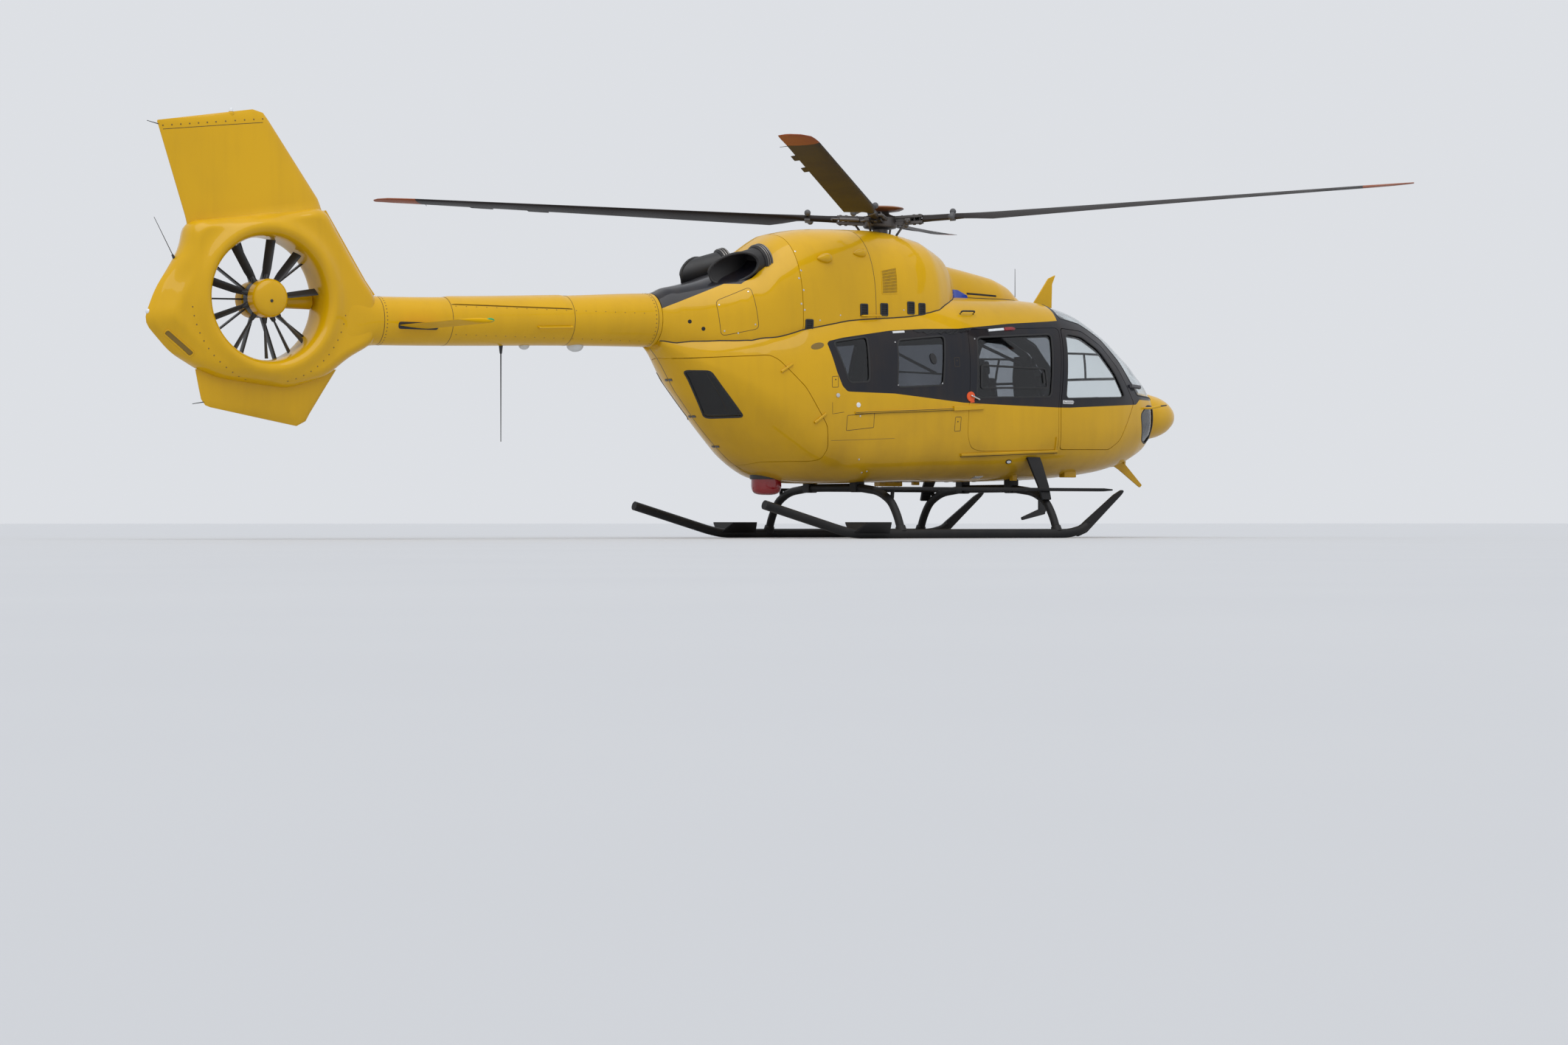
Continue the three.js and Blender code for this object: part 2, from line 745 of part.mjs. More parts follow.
// A fin. Columns: leading edge x and z, trailing edge x and z, half thickness.
function fin(rows) {
  return loft(
    rows.map(([leadX, leadZ, trailX, trailZ, half]) => {
      const section = [
        [0, 0],
        [0.05, 0.7],
        [0.3, 1],
        [1, 0.2],
        [1, -0.2],
        [0.3, -1],
        [0.05, -0.7],
      ];
      return section.map(
        ([t, y]) =>
          new THREE.Vector3(leadX + t * (trailX - leadX), y * half, leadZ + t * (trailZ - leadZ)),
      );
    }),
  );
}

const shroudPlate = new THREE.ExtrudeGeometry(outline(inset(SHROUD, SHROUD_ROUND), 60), {
  depth: 2 * SHROUD_CORE,
  bevelEnabled: true,
  bevelThickness: SHROUD_ROUND,
  bevelSize: SHROUD_ROUND,
  bevelSegments: 3,
  curveSegments: 1,
});
shroudPlate.rotateX(Math.PI / 2);
shroudPlate.translate(0, SHROUD_CORE, 0);
const lipRing = turned(
  [
    [300, -LIP.half + 60],
    [660, -LIP.half],
    [LIP.radius, -LIP.half + 100],
    [LIP.radius, LIP.half - 100],
    [660, LIP.half],
    [300, LIP.half - 60],
    [300, -LIP.half + 60],
  ],
  [FAN.x, 0, FAN.z],
  "y",
  32,
);
const duct = turned(
  [
    [0, -400],
    [720, -400],
    [660, -LIP.half - 2],
    [610, -LIP.half + 35],
    [FAN.duct, -LIP.half + 120],
    [FAN.duct, LIP.half - 120],
    [610, LIP.half - 35],
    [660, LIP.half + 2],
    [720, 400],
    [0, 400],
  ],
  [FAN.x, 0, FAN.z],
  "y",
  32,
);
const boomSpace = boom(-TOUCH, 2);
// Lamps on the fin's top and on the shroud's rear edge, and a slot low on each side of the shroud
const FIN_LAMP = { x: -7430, foot: 3900, top: 3999, radius: 18 };
const finLamp = rod(
  [FIN_LAMP.x, 0, FIN_LAMP.foot],
  [FIN_LAMP.x, 0, FIN_LAMP.top],
  30,
  FIN_LAMP.radius,
  10,
);
const TAIL_LAMP = { x: -8150, z: 2090, rear: -8282, radius: 26 };
const tailLamp = rod(
  [TAIL_LAMP.x, 0, TAIL_LAMP.z],
  [TAIL_LAMP.rear, 0, TAIL_LAMP.z],
  TAIL_LAMP.radius,
  TAIL_LAMP.radius - 8,
  10,
);
const SLOT = {
  y: 140,
  points: [
    [-8149, 1880],
    [-7893, 1672],
    [-7871, 1700],
    [-8127, 1908],
  ],
};
const slots = SIDES.map(([, way]) => sidePrism(SLOT.points, way * SLOT.y, way * 400, 17));
const shroudBody = join([solid(shroudPlate), lipRing, fin(FIN), finLamp, tailLamp]);
piece("tail_shroud", cut(shroudBody, [duct, boomSpace, ...slots]), "yellow");
const keelFin = cut(fin(KEEL), [solid(shroudPlate), lipRing, duct].map((body) => body));
piece("keel_fin", keelFin.translate([0, 0, -TOUCH]), "yellow");

// Tail fan: ten blades at uneven angles on a domed hub, turning inside the duct.
const FAN_ANGLES = [-8, 44, 62, 87, 122, 160, 196, 240, 279, 310];
const FAN_PLANE = -40;
const STATOR = { near: 95, far: 215, radius: 172, vanes: 10, first: -1, thick: 14, chord: 90 };
const SHAFT_RADIUS = 70;

// A flat radial blade in the duct. Its pitch turns it about its own length.
function fanBlade(angle, inner, outer, chord, thick, pitch, y) {
  const slab = new THREE.BoxGeometry(outer - inner, thick, chord);
  slab.rotateX(THREE.MathUtils.degToRad(pitch));
  slab.translate((inner + outer) / 2, y, 0);
  slab.rotateY(THREE.MathUtils.degToRad(angle));
  slab.translate(FAN.x, 0, FAN.z);
  return solid(slab);
}

const fanHub = turned(
  [
    [0, -238],
    [60, -234],
    [130, -220],
    [FAN.hub - 6, -198],
    [FAN.hub, -170],
    [FAN.hub, 30],
    [0, 30],
  ],
  [FAN.x, 0, FAN.z],
  "y",
);
const fanBlades = FAN_ANGLES.map((angle) =>
  fanBlade(angle, FAN.hub - 25, FAN.blade, 95, 12, 52, FAN_PLANE),
);
piece("tail_fan", join([fanHub, ...fanBlades]), "black");

const gearboxHub = turned(
  [
    [0, STATOR.near - 20],
    [STATOR.radius, STATOR.near - 20],
    [STATOR.radius, STATOR.far],
    [90, STATOR.far + 45],
    [0, STATOR.far + 50],
  ],
  [FAN.x, 0, FAN.z],
  "y",
);
// The drive shaft's fairing takes the place of the vane that points forward
const vanes = Array.from({ length: STATOR.vanes - 1 }, (_, i) => {
  const angle = STATOR.first + ((i + 1) * 360) / STATOR.vanes;
  return fanBlade(angle, STATOR.radius - 20, FAN.duct + 20, STATOR.thick, STATOR.chord, 0, 125);
});
const shaftFairing = rod(
  [FAN.x, 150, FAN.z],
  [FAN.x + FAN.duct + 20, 130, FAN.z],
  SHAFT_RADIUS,
  SHAFT_RADIUS,
  10,
);
const ductWall = turned(
  [
    [0, -500],
    [FAN.duct - TOUCH, -500],
    [FAN.duct - TOUCH, 500],
    [0, 500],
  ],
  [FAN.x, 0, FAN.z],
  "y",
  32,
);
const stator = join([gearboxHub, ...vanes, shaftFairing]).intersect(ductWall);
piece("fan_stator", stator, "black");

// Main rotor: mast, swash plate and four-armed hub with its cap, and four blades bolted to it.
const HUB = { arm: 450, half: 42, width: 130 };
const DISH = { radius: 250, z: 3438 };
const SWASH = { radius: 195, z: 3120 };
const mast = turned(
  [
    [0, 3000],
    [75, 3000],
    [75, SWASH.z - 18],
    [SWASH.radius, SWASH.z - 15],
    [SWASH.radius, SWASH.z + 25],
    [85, SWASH.z + 35],
    [80, HUB_HEIGHT - 75],
    [165, HUB_HEIGHT - 68],
    [180, HUB_HEIGHT - 45],
    [180, HUB_HEIGHT + 45],
    [120, HUB_HEIGHT + 75],
    [110, DISH.z - 40],
    [DISH.radius - 25, DISH.z - 20],
    [DISH.radius, DISH.z - 5],
    [DISH.radius - 5, DISH.z + 8],
    [120, DISH.z + 22],
    [0, DISH.z + 28],
  ],
  [0, 0, 0],
  "z",
  16,
);
const BLADE_TURNS = [0, 90, 180, 270].map((angle) => angle + FIRST_BLADE);

// Turns a geometry that lies along +X at the hub to its blade's place, raised by the coning.
function toBlade(geometry, angle) {
  geometry.rotateY(THREE.MathUtils.degToRad(-CONING));
  geometry.rotateZ(THREE.MathUtils.degToRad(angle));
  geometry.translate(0, 0, HUB_HEIGHT);
  return solid(geometry);
}

const arms = BLADE_TURNS.map((angle) => {
  const arm = new THREE.BoxGeometry(HUB.arm - 100, HUB.width, 2 * HUB.half);
  arm.translate((HUB.arm + 100) / 2, 0, 0);
  return toBlade(arm, angle);
});
const LINK = { low: 172, high: 290, radius: 13 };
const links = BLADE_TURNS.map((angle) => {
  const a = THREE.MathUtils.degToRad(angle - 24);
  const b = THREE.MathUtils.degToRad(angle - 16);
  return rod(
    [LINK.low * Math.cos(a), LINK.low * Math.sin(a), SWASH.z],
    [LINK.high * Math.cos(b), LINK.high * Math.sin(b), HUB_HEIGHT - 10],
    LINK.radius,
    LINK.radius,
    8,
  );
});
const horns = BLADE_TURNS.map((angle) => {
  const horn = new THREE.BoxGeometry(60, 130, 40);
  horn.translate(300, -65, -10);
  return toBlade(horn, angle);
});
piece("rotor_hub", join([mast, ...arms, ...links, ...horns]), "steel");

// One blade. Columns: distance from the mast, leading edge, trailing edge, half thickness, and the
// angle by which the leading edge is raised.
const BLADE = [
  [HUB.arm + TOUCH, 45, -45, 38, 18],
  [800, 42, -42, 32, 18],
  [890, 60, -75, 26, 18],
  [1200, 70, -230, 22, 17],
  [3000, 70, -230, 18, 11],
  [5000, 70, -230, 15, 5],
  [5300, 45, -235, 12, 4.5],
  [5430, -20, -235, 9, 4],
  [ROTOR_RADIUS, -120, -232, 7, 4],
];
// Where the section's corners lie, as shares of the chord and of the half thickness
const BLADE_SECTION = [
  [0, 0],
  [0.05, 0.62],
  [0.25, 1],
  [0.6, 0.75],
  [1, 0.12],
  [1, -0.12],
  [0.6, -0.6],
  [0.25, -0.8],
  [0.05, -0.5],
];
const BALL = { at: 765, middle: -57, out: 118, lift: 42, radius: 34 };
BLADE_TURNS.forEach((angle, i) => {
  const rings = BLADE.map(([r, lead, trail, half, pitch]) =>
    BLADE_SECTION.map(([t, h]) =>
      new THREE.Vector3(r, lead - t * (lead - trail), h * half).applyAxisAngle(
        new THREE.Vector3(1, 0, 0),
        THREE.MathUtils.degToRad(pitch),
      ),
    ),
  );
  const tilt = THREE.MathUtils.degToRad(-CONING);
  const turn = THREE.MathUtils.degToRad(angle);
  const place = new THREE.Matrix4()
    .makeTranslation(0, 0, HUB_HEIGHT)
    .multiply(new THREE.Matrix4().makeRotationZ(turn))
    .multiply(new THREE.Matrix4().makeRotationY(tilt));
  const blade = loft(rings.map((points) => points.map((p) => p.applyMatrix4(place))));
  // Two pendulum weights on a bar across the blade's root, which follows its pitch
  const pitch = THREE.MathUtils.degToRad(BLADE[0].at(-1));
  const weights = [1, -1].map((way) => {
    const ball = new THREE.SphereGeometry(BALL.radius, 8, 5);
    ball.translate(BALL.at, BALL.middle + way * BALL.out, BALL.lift);
    ball.rotateX(pitch);
    return toBlade(ball, angle);
  });
  const bar = new THREE.BoxGeometry(36, 2 * BALL.out, 26);
  bar.translate(BALL.at, BALL.middle, BALL.lift);
  const post = new THREE.BoxGeometry(60, 70, BALL.lift);
  post.translate(BALL.at, 0, BALL.lift / 2);
  const carrier = [bar, post].map((geometry) => toBlade(geometry.rotateX(pitch), angle));
  piece(`rotor_blade_${i + 1}`, join([blade, ...carrier, ...weights]), "blade");
});

// Landing gear: two bowed cross tubes under the belly, two skids and two step boards.
const CROSS_TUBES = [
  ["cross_tube_front", 1410],
  ["cross_tube_rear", -600],
];
const CROSS_RADIUS = 42;
// Half of a cross tube's route, as [y, z] points from the middle out to the skid
const CROSS_ROUTE = [
  [0, 520],
  [420, 520],
  [800, 480],
  [1010, 380],
  [1120, 230],
  [SKID.y, SKID_LEVEL],
];
const skidSpace = SIDES.map(([, way]) =>
  tube(
    [
      [-3000, way * SKID.y, SKID_LEVEL],
      [3000, way * SKID.y, SKID_LEVEL],
    ],
    SKID.radius + TOUCH,
    [0, 1, 0],
  ),
);
for (const [name, x] of CROSS_TUBES) {
  const half = CROSS_ROUTE.map(([y, z]) => [x, y, z]);
  const mirrored = half.slice(1).map(([, y, z]) => [x, -y, z]);
  const route = [...mirrored.reverse(), ...half];
  // Pads that carry the belly on the tube
  const pads = SIDES.map(([, way]) =>
    block(
      [x - 60, Math.min(way * 360, way * 480), 500],
      [x + 60, Math.max(way * 360, way * 480), 700],
    ),
  );
  const bow = join([tube(route, CROSS_RADIUS, [1, 0, 0]), ...pads]);
  piece(name, cut(bow, [...skidSpace, roofSpace]), "black");
}

const SKID_ROUTE = [
  [-2280, 330],
  [-1350, 75],
  [-1180, SKID_LEVEL],
  [1560, SKID_LEVEL],
  [1720, 80],
  [1790, 122],
];
// The flat upturned fin at the front end of each skid, in the side view
const SKID_FIN = [
  [1670, 12],
  [1790, 55],
  [2265, 452],
  [2300, 492],
  [2270, 505],
  [2170, 455],
  [1760, 165],
  [1660, 82],
];
const SKID_FIN_HALF = 15;
const PAW = { from: -1230, to: -780, wing: 190, rise: 150, thick: 14 };
for (const [side, way] of SIDES) {
  const route = SKID_ROUTE.map(([x, z]) => [x, way * SKID.y, z]);
  const runner = tube(route, SKID.radius, [0, 1, 0], SKID.sides);
  // Bear paw: two plates that rise from the skid like a shallow V
  const paws = [1, -1].map((wing) => {
    const inner = way * SKID.y + wing * 30;
    const outer = way * SKID.y + wing * PAW.wing;
    const corners = [
      [PAW.from, inner, 40],
      [PAW.to, inner, 40],
      [PAW.to - 90, outer, PAW.rise],
      [PAW.from + 60, outer, PAW.rise],
    ];
    return loft(
      [0, PAW.thick].map((lift) => corners.map(([x, y, z]) => new THREE.Vector3(x, y, z + lift))),
    );
  });
  const tip = sidePrism(
    SKID_FIN,
    way * SKID.y - SKID_FIN_HALF,
    way * SKID.y + SKID_FIN_HALF,
    12,
    1,
  );
  piece(`skid_${side}`, join([runner, tip, ...paws]), "black");
}

const STEP = { from: -810, to: 2310, y: 1000, z: 505, half: 60, thick: 34 };
const STEP_END = { long: 150, half: 18, thick: 16 };
// The broad strut from the cabin's side over the board to the front tube: y, z and half width
const STRUT = { x: 1375, thick: 24, rows: [[818, 838, 86], [1000, 520, 66], [1046, 392, 56]] };
for (const [side, way] of SIDES) {
  const sections = [
    [STEP.from, STEP_END.half, STEP_END.thick],
    [STEP.from + STEP_END.long, STEP.half, STEP.thick],
    [STEP.to - STEP_END.long, STEP.half, STEP.thick],
    [STEP.to, STEP_END.half, STEP_END.thick],
  ];
  const board = loft(
    sections.map(([x, half, thick]) => [
      new THREE.Vector3(x, way * STEP.y - half, STEP.z - thick / 2),
      new THREE.Vector3(x, way * STEP.y + half, STEP.z - thick / 2),
      new THREE.Vector3(x, way * STEP.y + half, STEP.z + thick / 2),
      new THREE.Vector3(x, way * STEP.y - half, STEP.z + thick / 2),
    ]),
  );
  const strut = loft(
    STRUT.rows.map(([y, z, half]) => [
      new THREE.Vector3(STRUT.x - half, way * y, z),
      new THREE.Vector3(STRUT.x + half, way * y, z),
      new THREE.Vector3(STRUT.x + half, way * (y + STRUT.thick), z + STRUT.thick / 3),
      new THREE.Vector3(STRUT.x - half, way * (y + STRUT.thick), z + STRUT.thick / 3),
    ]),
  );
  const posts = CROSS_TUBES.map(([, x]) =>
    rod([x + 30, way * 985, 400], [x + 30, way * STEP.y, STEP.z], 20, 20, 8),
  );
  const tubes = CROSS_TUBES.map(([, x]) =>
    tube(
      CROSS_ROUTE.map(([y, z]) => [x, way * y, z]),
      CROSS_RADIUS + TOUCH,
      [1, 0, 0],
    ),
  );
  const step = join([board, strut, ...posts]);
  piece(`step_board_${side}`, cut(step, [...tubes, roofSpace]), "black");
}

// Nose: radar dome, wire cutters, belly antenna and beacon.
const DOME = [
  [0, 3380],
  [255, 3380],
  [262, 3480],
  [245, 3650],
  [205, 3800],
  [150, 3900],
  [80, 3975],
  [0, 4000],
];
const dome = turned(DOME, [0, 0, 1325], "x");
piece("nose_radome", dome.subtract(roofSpace), "yellow");

const upperCutter = sidePrism(
  [
    [1980, 2440],
    [2250, 2800],
    [2345, 2840],
    [2300, 2740],
    [2290, 2380],
  ],
  -9,
  9,
  10,
);
piece("wire_cutter_upper", upperCutter.subtract(roofSpace), "yellow");
const lowerCutter = sidePrism(
  [
    [3030, 850],
    [3350, 960],
    [3330, 800],
    [3570, 570],
    [3540, 545],
    [3240, 740],
  ],
  -9,
  9,
  10,
);
// Thin braces from the lower cutter back to the belly and up to the nose
const BRACE_FOOT = [3318, 0, 800];
const BRACE_RADIUS = 8;
const BRACE_ENDS = [
  [2560, 0, 680],
  [3200, 150, 960],
  [3200, -150, 960],
];
const braces = BRACE_ENDS.map((end) => rod(BRACE_FOOT, end, BRACE_RADIUS, BRACE_RADIUS, 6));
piece("wire_cutter_lower", join([lowerCutter, ...braces]).subtract(roofSpace), "yellow");
const antenna = join([
  block([2120, -14, 270], [2210, 14, 660]),
  loft(
    [-14, 14].map((y) => [
      new THREE.Vector3(2210, y, 300),
      new THREE.Vector3(2110, y, 300),
      new THREE.Vector3(1880, y, 215),
      new THREE.Vector3(1890, y, 185),
      new THREE.Vector3(2200, y, 250),
    ]),
  ),
]);
piece("belly_antenna", antenna.subtract(roofSpace), "black");
const beacon = turned(
  [
    [0, 440],
    [90, 446],
    [138, 480],
    [155, 530],
    [155, 700],
    [0, 700],
  ],
  [-1440, 0, 0],
  "z",
  14,
);
piece("belly_beacon", beacon.subtract(roofSpace), "lamp");

// Interior seen through the glass: two front seats, instrument panel, a cabin seat and a stretcher.
function seat(x, y, width) {
  const cushion = block([x - 230, y - width / 2, FLOOR_TOP + 260], [x + 230, y + width / 2, 1230]);
  const base = block([x - 180, y - 150, FLOOR_TOP + TOUCH], [x + 180, y + 150, FLOOR_TOP + 300]);
  const back = loft(
    [
      [-240, 1180, 60],
      [-330, 1750, 45],
      [-350, 1930, 35],
    ].map(([dx, z, half]) => [
      new THREE.Vector3(x + dx - half, y - width / 2 + 20, z),
      new THREE.Vector3(x + dx + half, y - width / 2 + 20, z),
      new THREE.Vector3(x + dx + half, y + width / 2 - 20, z),
      new THREE.Vector3(x + dx - half, y + width / 2 - 20, z),
    ]),
  );
  return join([cushion, base, back]);
}
for (const [side, way] of SIDES) {
  piece(`pilot_seat_${side}`, seat(1950, way * 400, 460), "seat");
}
piece("cabin_seat", seat(550, 380, 460), "seat");
piece(
  "instrument_panel",
  join([
    block([2620, -330, 1180], [2760, 330, 1520]),
    block([2380, -110, FLOOR_TOP + TOUCH], [2700, 110, 1250]),
  ]),
  "band",
);
piece(
  "stretcher",
  join([
    block([-1150, -420, 1020], [750, 60, 1110]),
    block([-900, -350, FLOOR_TOP + TOUCH], [-700, -10, 1060]),
    block([300, -350, FLOOR_TOP + TOUCH], [500, -10, 1060]),
  ]),
  "grey",
);

const helicopter = new THREE.Group();
helicopter.add(craft);
export default helicopter;
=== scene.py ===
import bpy
import numpy as np
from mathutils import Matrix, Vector
from mathutils.bvhtree import BVHTree
from mathutils.geometry import delaunay_2d_cdt


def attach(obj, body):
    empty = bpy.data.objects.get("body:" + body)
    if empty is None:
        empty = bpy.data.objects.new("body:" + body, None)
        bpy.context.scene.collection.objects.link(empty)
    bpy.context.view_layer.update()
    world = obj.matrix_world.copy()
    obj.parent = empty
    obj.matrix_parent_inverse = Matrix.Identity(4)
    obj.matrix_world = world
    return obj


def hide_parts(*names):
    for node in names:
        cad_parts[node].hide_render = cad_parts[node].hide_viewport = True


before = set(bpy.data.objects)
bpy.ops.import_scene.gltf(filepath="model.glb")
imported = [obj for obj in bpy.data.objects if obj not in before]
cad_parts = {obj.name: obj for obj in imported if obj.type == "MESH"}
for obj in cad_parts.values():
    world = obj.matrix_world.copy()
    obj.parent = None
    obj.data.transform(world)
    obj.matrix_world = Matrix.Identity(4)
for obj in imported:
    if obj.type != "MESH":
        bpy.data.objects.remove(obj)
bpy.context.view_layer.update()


# Camera: at floor level, on the side and at the distance from which the photograph was taken,
# looking level with the same long lens.
MAST = 2.142  # from the middle of the craft's box to the mast
VIEW_WAY = np.array([0.5672, 0.8236])  # horizontal direction in which the camera looks
VIEW_AIM = np.array([-0.82, 0.58])
VIEW_DISTANCE = 36.6
VIEW_HEIGHT = 0.16


def added(name, data):
    """A new object of the scene."""
    made = bpy.data.objects.new(name, data)
    bpy.context.scene.collection.objects.link(made)
    return made


def facing(way):
    """The turn that points a camera or lamp along a direction."""
    return Vector(way).to_track_quat("-Z", "Y").to_euler()


camera_data = bpy.data.cameras.new("photo_camera")
camera_data.lens = 80.35
camera_data.sensor_width = 36.0
camera_data.clip_end = 1200.0
camera = added("photo_camera", camera_data)
eye = VIEW_AIM - VIEW_DISTANCE * VIEW_WAY
camera.location = (eye[0] + MAST, eye[1], VIEW_HEIGHT)
camera.rotation_euler = facing((*VIEW_WAY, 0))
bpy.context.scene.camera = camera


# Floor and light: a wide pale studio floor under an even pale sky, and one very broad lamp from
# above, for the soft light of the overcast day in the photograph.
FLOOR_HALF = 400.0


def node(tree, kind, inputs=(), **settings):
    """Adds a shader node. A plain value is set on its input socket, a socket is linked to it."""
    made = tree.nodes.new("ShaderNode" + kind)
    for key, value in settings.items():
        setattr(made, key, value)
    for key, value in dict(inputs).items():
        if isinstance(value, bpy.types.NodeSocket):
            tree.links.new(value, made.inputs[key])
        else:
            made.inputs[key].default_value = value
    return made


def finish(name, colour, roughness, metallic=0.0, normal=None, **constants):
    """A material with one Principled shader. colour and roughness may be values or functions
    that add nodes to the material's tree and give back a socket."""
    made = bpy.data.materials.new(name)
    made.use_nodes = True
    tree = made.node_tree
    shader = tree.nodes["Principled BSDF"]
    for key, value in {
        "Base Color": colour, "Roughness": roughness, "Metallic": metallic, "Normal": normal,
    }.items():
        if callable(value):
            tree.links.new(value(tree), shader.inputs[key])
        elif value is not None:
            shader.inputs[key].default_value = value
    for key, value in constants.items():
        shader.inputs[key.replace("_", " ")].default_value = value
    return made


def noise(tree, vector, scale, detail=4.0):
    """A cloudy value from 0 to 1, with scale clouds to the metre."""
    values = {"Vector": vector, "Scale": scale, "Detail": detail}
    return node(tree, "TexNoise", values).outputs["Fac"]


def mixed(tree, share, a, b):
    """A colour between a and b."""
    return node(tree, "Mix", {0: share, 6: a, 7: b}, data_type="RGBA").outputs[2]


def placed(tree, scale=(1.0, 1.0, 1.0)):
    """Object coordinates, stretched."""
    where = node(tree, "TexCoord").outputs["Object"]
    return node(tree, "Mapping", {"Vector": where, "Scale": scale}).outputs["Vector"]


def clouded(scale, a, b, stretch=(1.0, 1.0, 1.0)):
    """A colour that drifts in soft clouds between a and b."""
    return lambda tree: mixed(tree, noise(tree, placed(tree, stretch), scale), a, b)


floor_colour = clouded(0.6, (0.5, 0.51, 0.53, 1), (0.53, 0.54, 0.555, 1))
floor_mesh = bpy.data.meshes.new("studio_floor")
corners = [
    (x * FLOOR_HALF, y * FLOOR_HALF, -0.001) for x, y in ((-1, -1), (1, -1), (1, 1), (-1, 1))
]
floor_mesh.from_pydata(corners, [], [(0, 1, 2, 3)])
floor_mesh.materials.append(finish("studio_floor", floor_colour, 0.75))
added("studio_floor", floor_mesh)

world = bpy.data.worlds.new("soft_sky")
world.use_nodes = True
sky = world.node_tree.nodes["Background"].inputs
sky["Color"].default_value = (0.93, 0.955, 1.0, 1)
sky["Strength"].default_value = 0.78
bpy.context.scene.world = world
bpy.context.scene.view_settings.view_transform = "Standard"
lamp_data = bpy.data.lights.new("broad_daylight", "SUN")
lamp_data.energy = 1.7
lamp_data.angle = np.radians(65)
added("broad_daylight", lamp_data).rotation_euler = facing((0.25, 0.45, -1.0))


# Cabin shell: one round-cornered pod of bonded composite, 45 mm thick with its lining, painted
# yellow with a charcoal band round the windows. The doors and panes are cut out of it.
WALL = 0.045
SHARP_EDGE = 38  # degrees, past which an edge isn't shaded smooth
# Columns: x, half width, height of the widest line, lowest and highest point, and how square
# the upper and lower corners are (2 is an ellipse)
POD = np.array([
    [3.54, 0.19, 1.33, 1.12, 1.53, 2.0, 2.0], [3.46, 0.33, 1.32, 1.01, 1.64, 2.1, 2.1],
    [3.3, 0.48, 1.29, 0.88, 1.79, 2.2, 2.3], [3.05, 0.61, 1.26, 0.78, 2.0, 2.3, 2.5],
    [2.7, 0.725, 1.24, 0.7, 2.24, 2.5, 2.7], [2.3, 0.8, 1.22, 0.65, 2.43, 2.8, 2.9],
    [1.85, 0.845, 1.2, 0.615, 2.52, 3.1, 3.0], [1.1, 0.865, 1.2, 0.592, 2.54, 3.2, 3.7],
    [0.1, 0.865, 1.2, 0.585, 2.53, 3.2, 4.2], [-0.9, 0.865, 1.22, 0.562, 2.45, 3.1, 4.5],
    [-1.45, 0.835, 1.3, 0.6, 2.33, 2.9, 2.7], [-1.85, 0.72, 1.47, 0.755, 2.23, 2.8, 1.8],
    [-2.2, 0.57, 1.64, 1.06, 2.15, 2.7, 1.55], [-2.55, 0.38, 1.79, 1.47, 2.08, 2.5, 1.6],
    [-2.84, 0.18, 1.96, 1.885, 2.03, 2.2, 1.8], [-2.9, 0.11, 1.99, 1.94, 2.04, 2.0, 2.0],
    [-2.94, 0.02, 2.0, 1.99, 2.01, 2.0, 2.0],
])
COCKPIT_DOOR = [
    (1.737, 0.925), (1.737, 1.4), (1.847, 2.222), (2.18, 2.2), (2.46, 2.05), (2.68, 1.815),
    (2.91, 1.45), (2.65, 1.03), (2.5, 0.935),
]
SLIDING_DOOR = [
    (0.486, 1.065), (0.532, 0.927), (0.67, 0.895), (1.712, 0.925), (1.712, 1.4), (1.82, 2.222),
    (0.56, 2.165),
]
MIDDLE_PANE = [(-0.41, 1.535), (0.18, 1.57), (0.25, 2.09), (-0.365, 2.025)]
REAR_PANE = [(-1.005, 1.57), (-0.755, 1.585), (-0.735, 2.05), (-1.15, 1.985)]
CLAMSHELL = [
    (-1.86, 1.838), (-1.775, 1.795), (-1.51, 1.517), (-1.272, 1.135), (-1.25, 0.9), (-1.295, 0.79),
    (-1.39, 0.772), (-1.74, 0.768), (-1.85, 0.72), (-1.9, 0.4), (-3.0, 0.4), (-3.0, 1.797),
    (-2.64, 1.797),
]
WINDSCREEN = [
    (1.9, 2.7), (1.9, 2.33), (2.2, 2.28), (2.51, 2.12), (2.745, 1.88), (2.99, 1.53), (3.7, 1.5),
    (3.7, 2.7),
]
CHIN_PANE = [(3.04, 1.33), (3.2, 1.43), (3.39, 1.42), (3.4, 1.18), (3.25, 1.01), (3.09, 1.05)]
POD_ENDS = (3.54, -2.94)
POST = 0.028  # half width of the windscreen's middle post
CHIN_INNER = 0.21
CENTRE_GAP = 0.005  # half the gap between the two rear doors
# Columns: x, lower and upper edge of the charcoal band
BAND = [
    (-1.222, 1.96, 1.962), (-1.2, 1.87, 1.99), (-1.154, 1.687, 2.0), (-1.09, 1.535, 2.015),
    (-1.03, 1.482, 2.028), (-0.944, 1.479, 2.042), (-0.439, 1.472, 2.118), (0.0, 1.435, 2.15),
    (0.446, 1.396, 2.166), (0.9, 1.385, 2.215), (1.122, 1.38, 2.24), (1.71, 1.37, 2.285),
    (1.86, 1.372, 2.3), (1.9, 1.374, 2.95), (2.95, 1.43, 2.95), (3.03, 1.485, 2.95),
    (3.6, 1.485, 2.95),
]


def rows_at(rows, x):
    """The columns of rows at each x, on the curve through the four nearest rows whose slope at a
    row is half the step between its neighbours (Catmull-Rom)."""
    x = np.asarray(x, float)
    last = len(rows) - 1
    after = np.clip(np.searchsorted(-rows[:, 0], -x), 1, last)
    before = after - 1
    t = ((rows[before, 0] - x) / (rows[before, 0] - rows[after, 0]))[..., None]
    p = [rows[np.clip(i, 0, last)] for i in (before - 1, before, after, after + 1)]
    return 0.5 * (
        2 * p[1]
        + (p[2] - p[0]) * t
        + (2 * p[0] - 5 * p[1] + 4 * p[2] - p[3]) * t**2
        + (3 * p[1] - p[0] - 3 * p[2] + p[3]) * t**3
    )


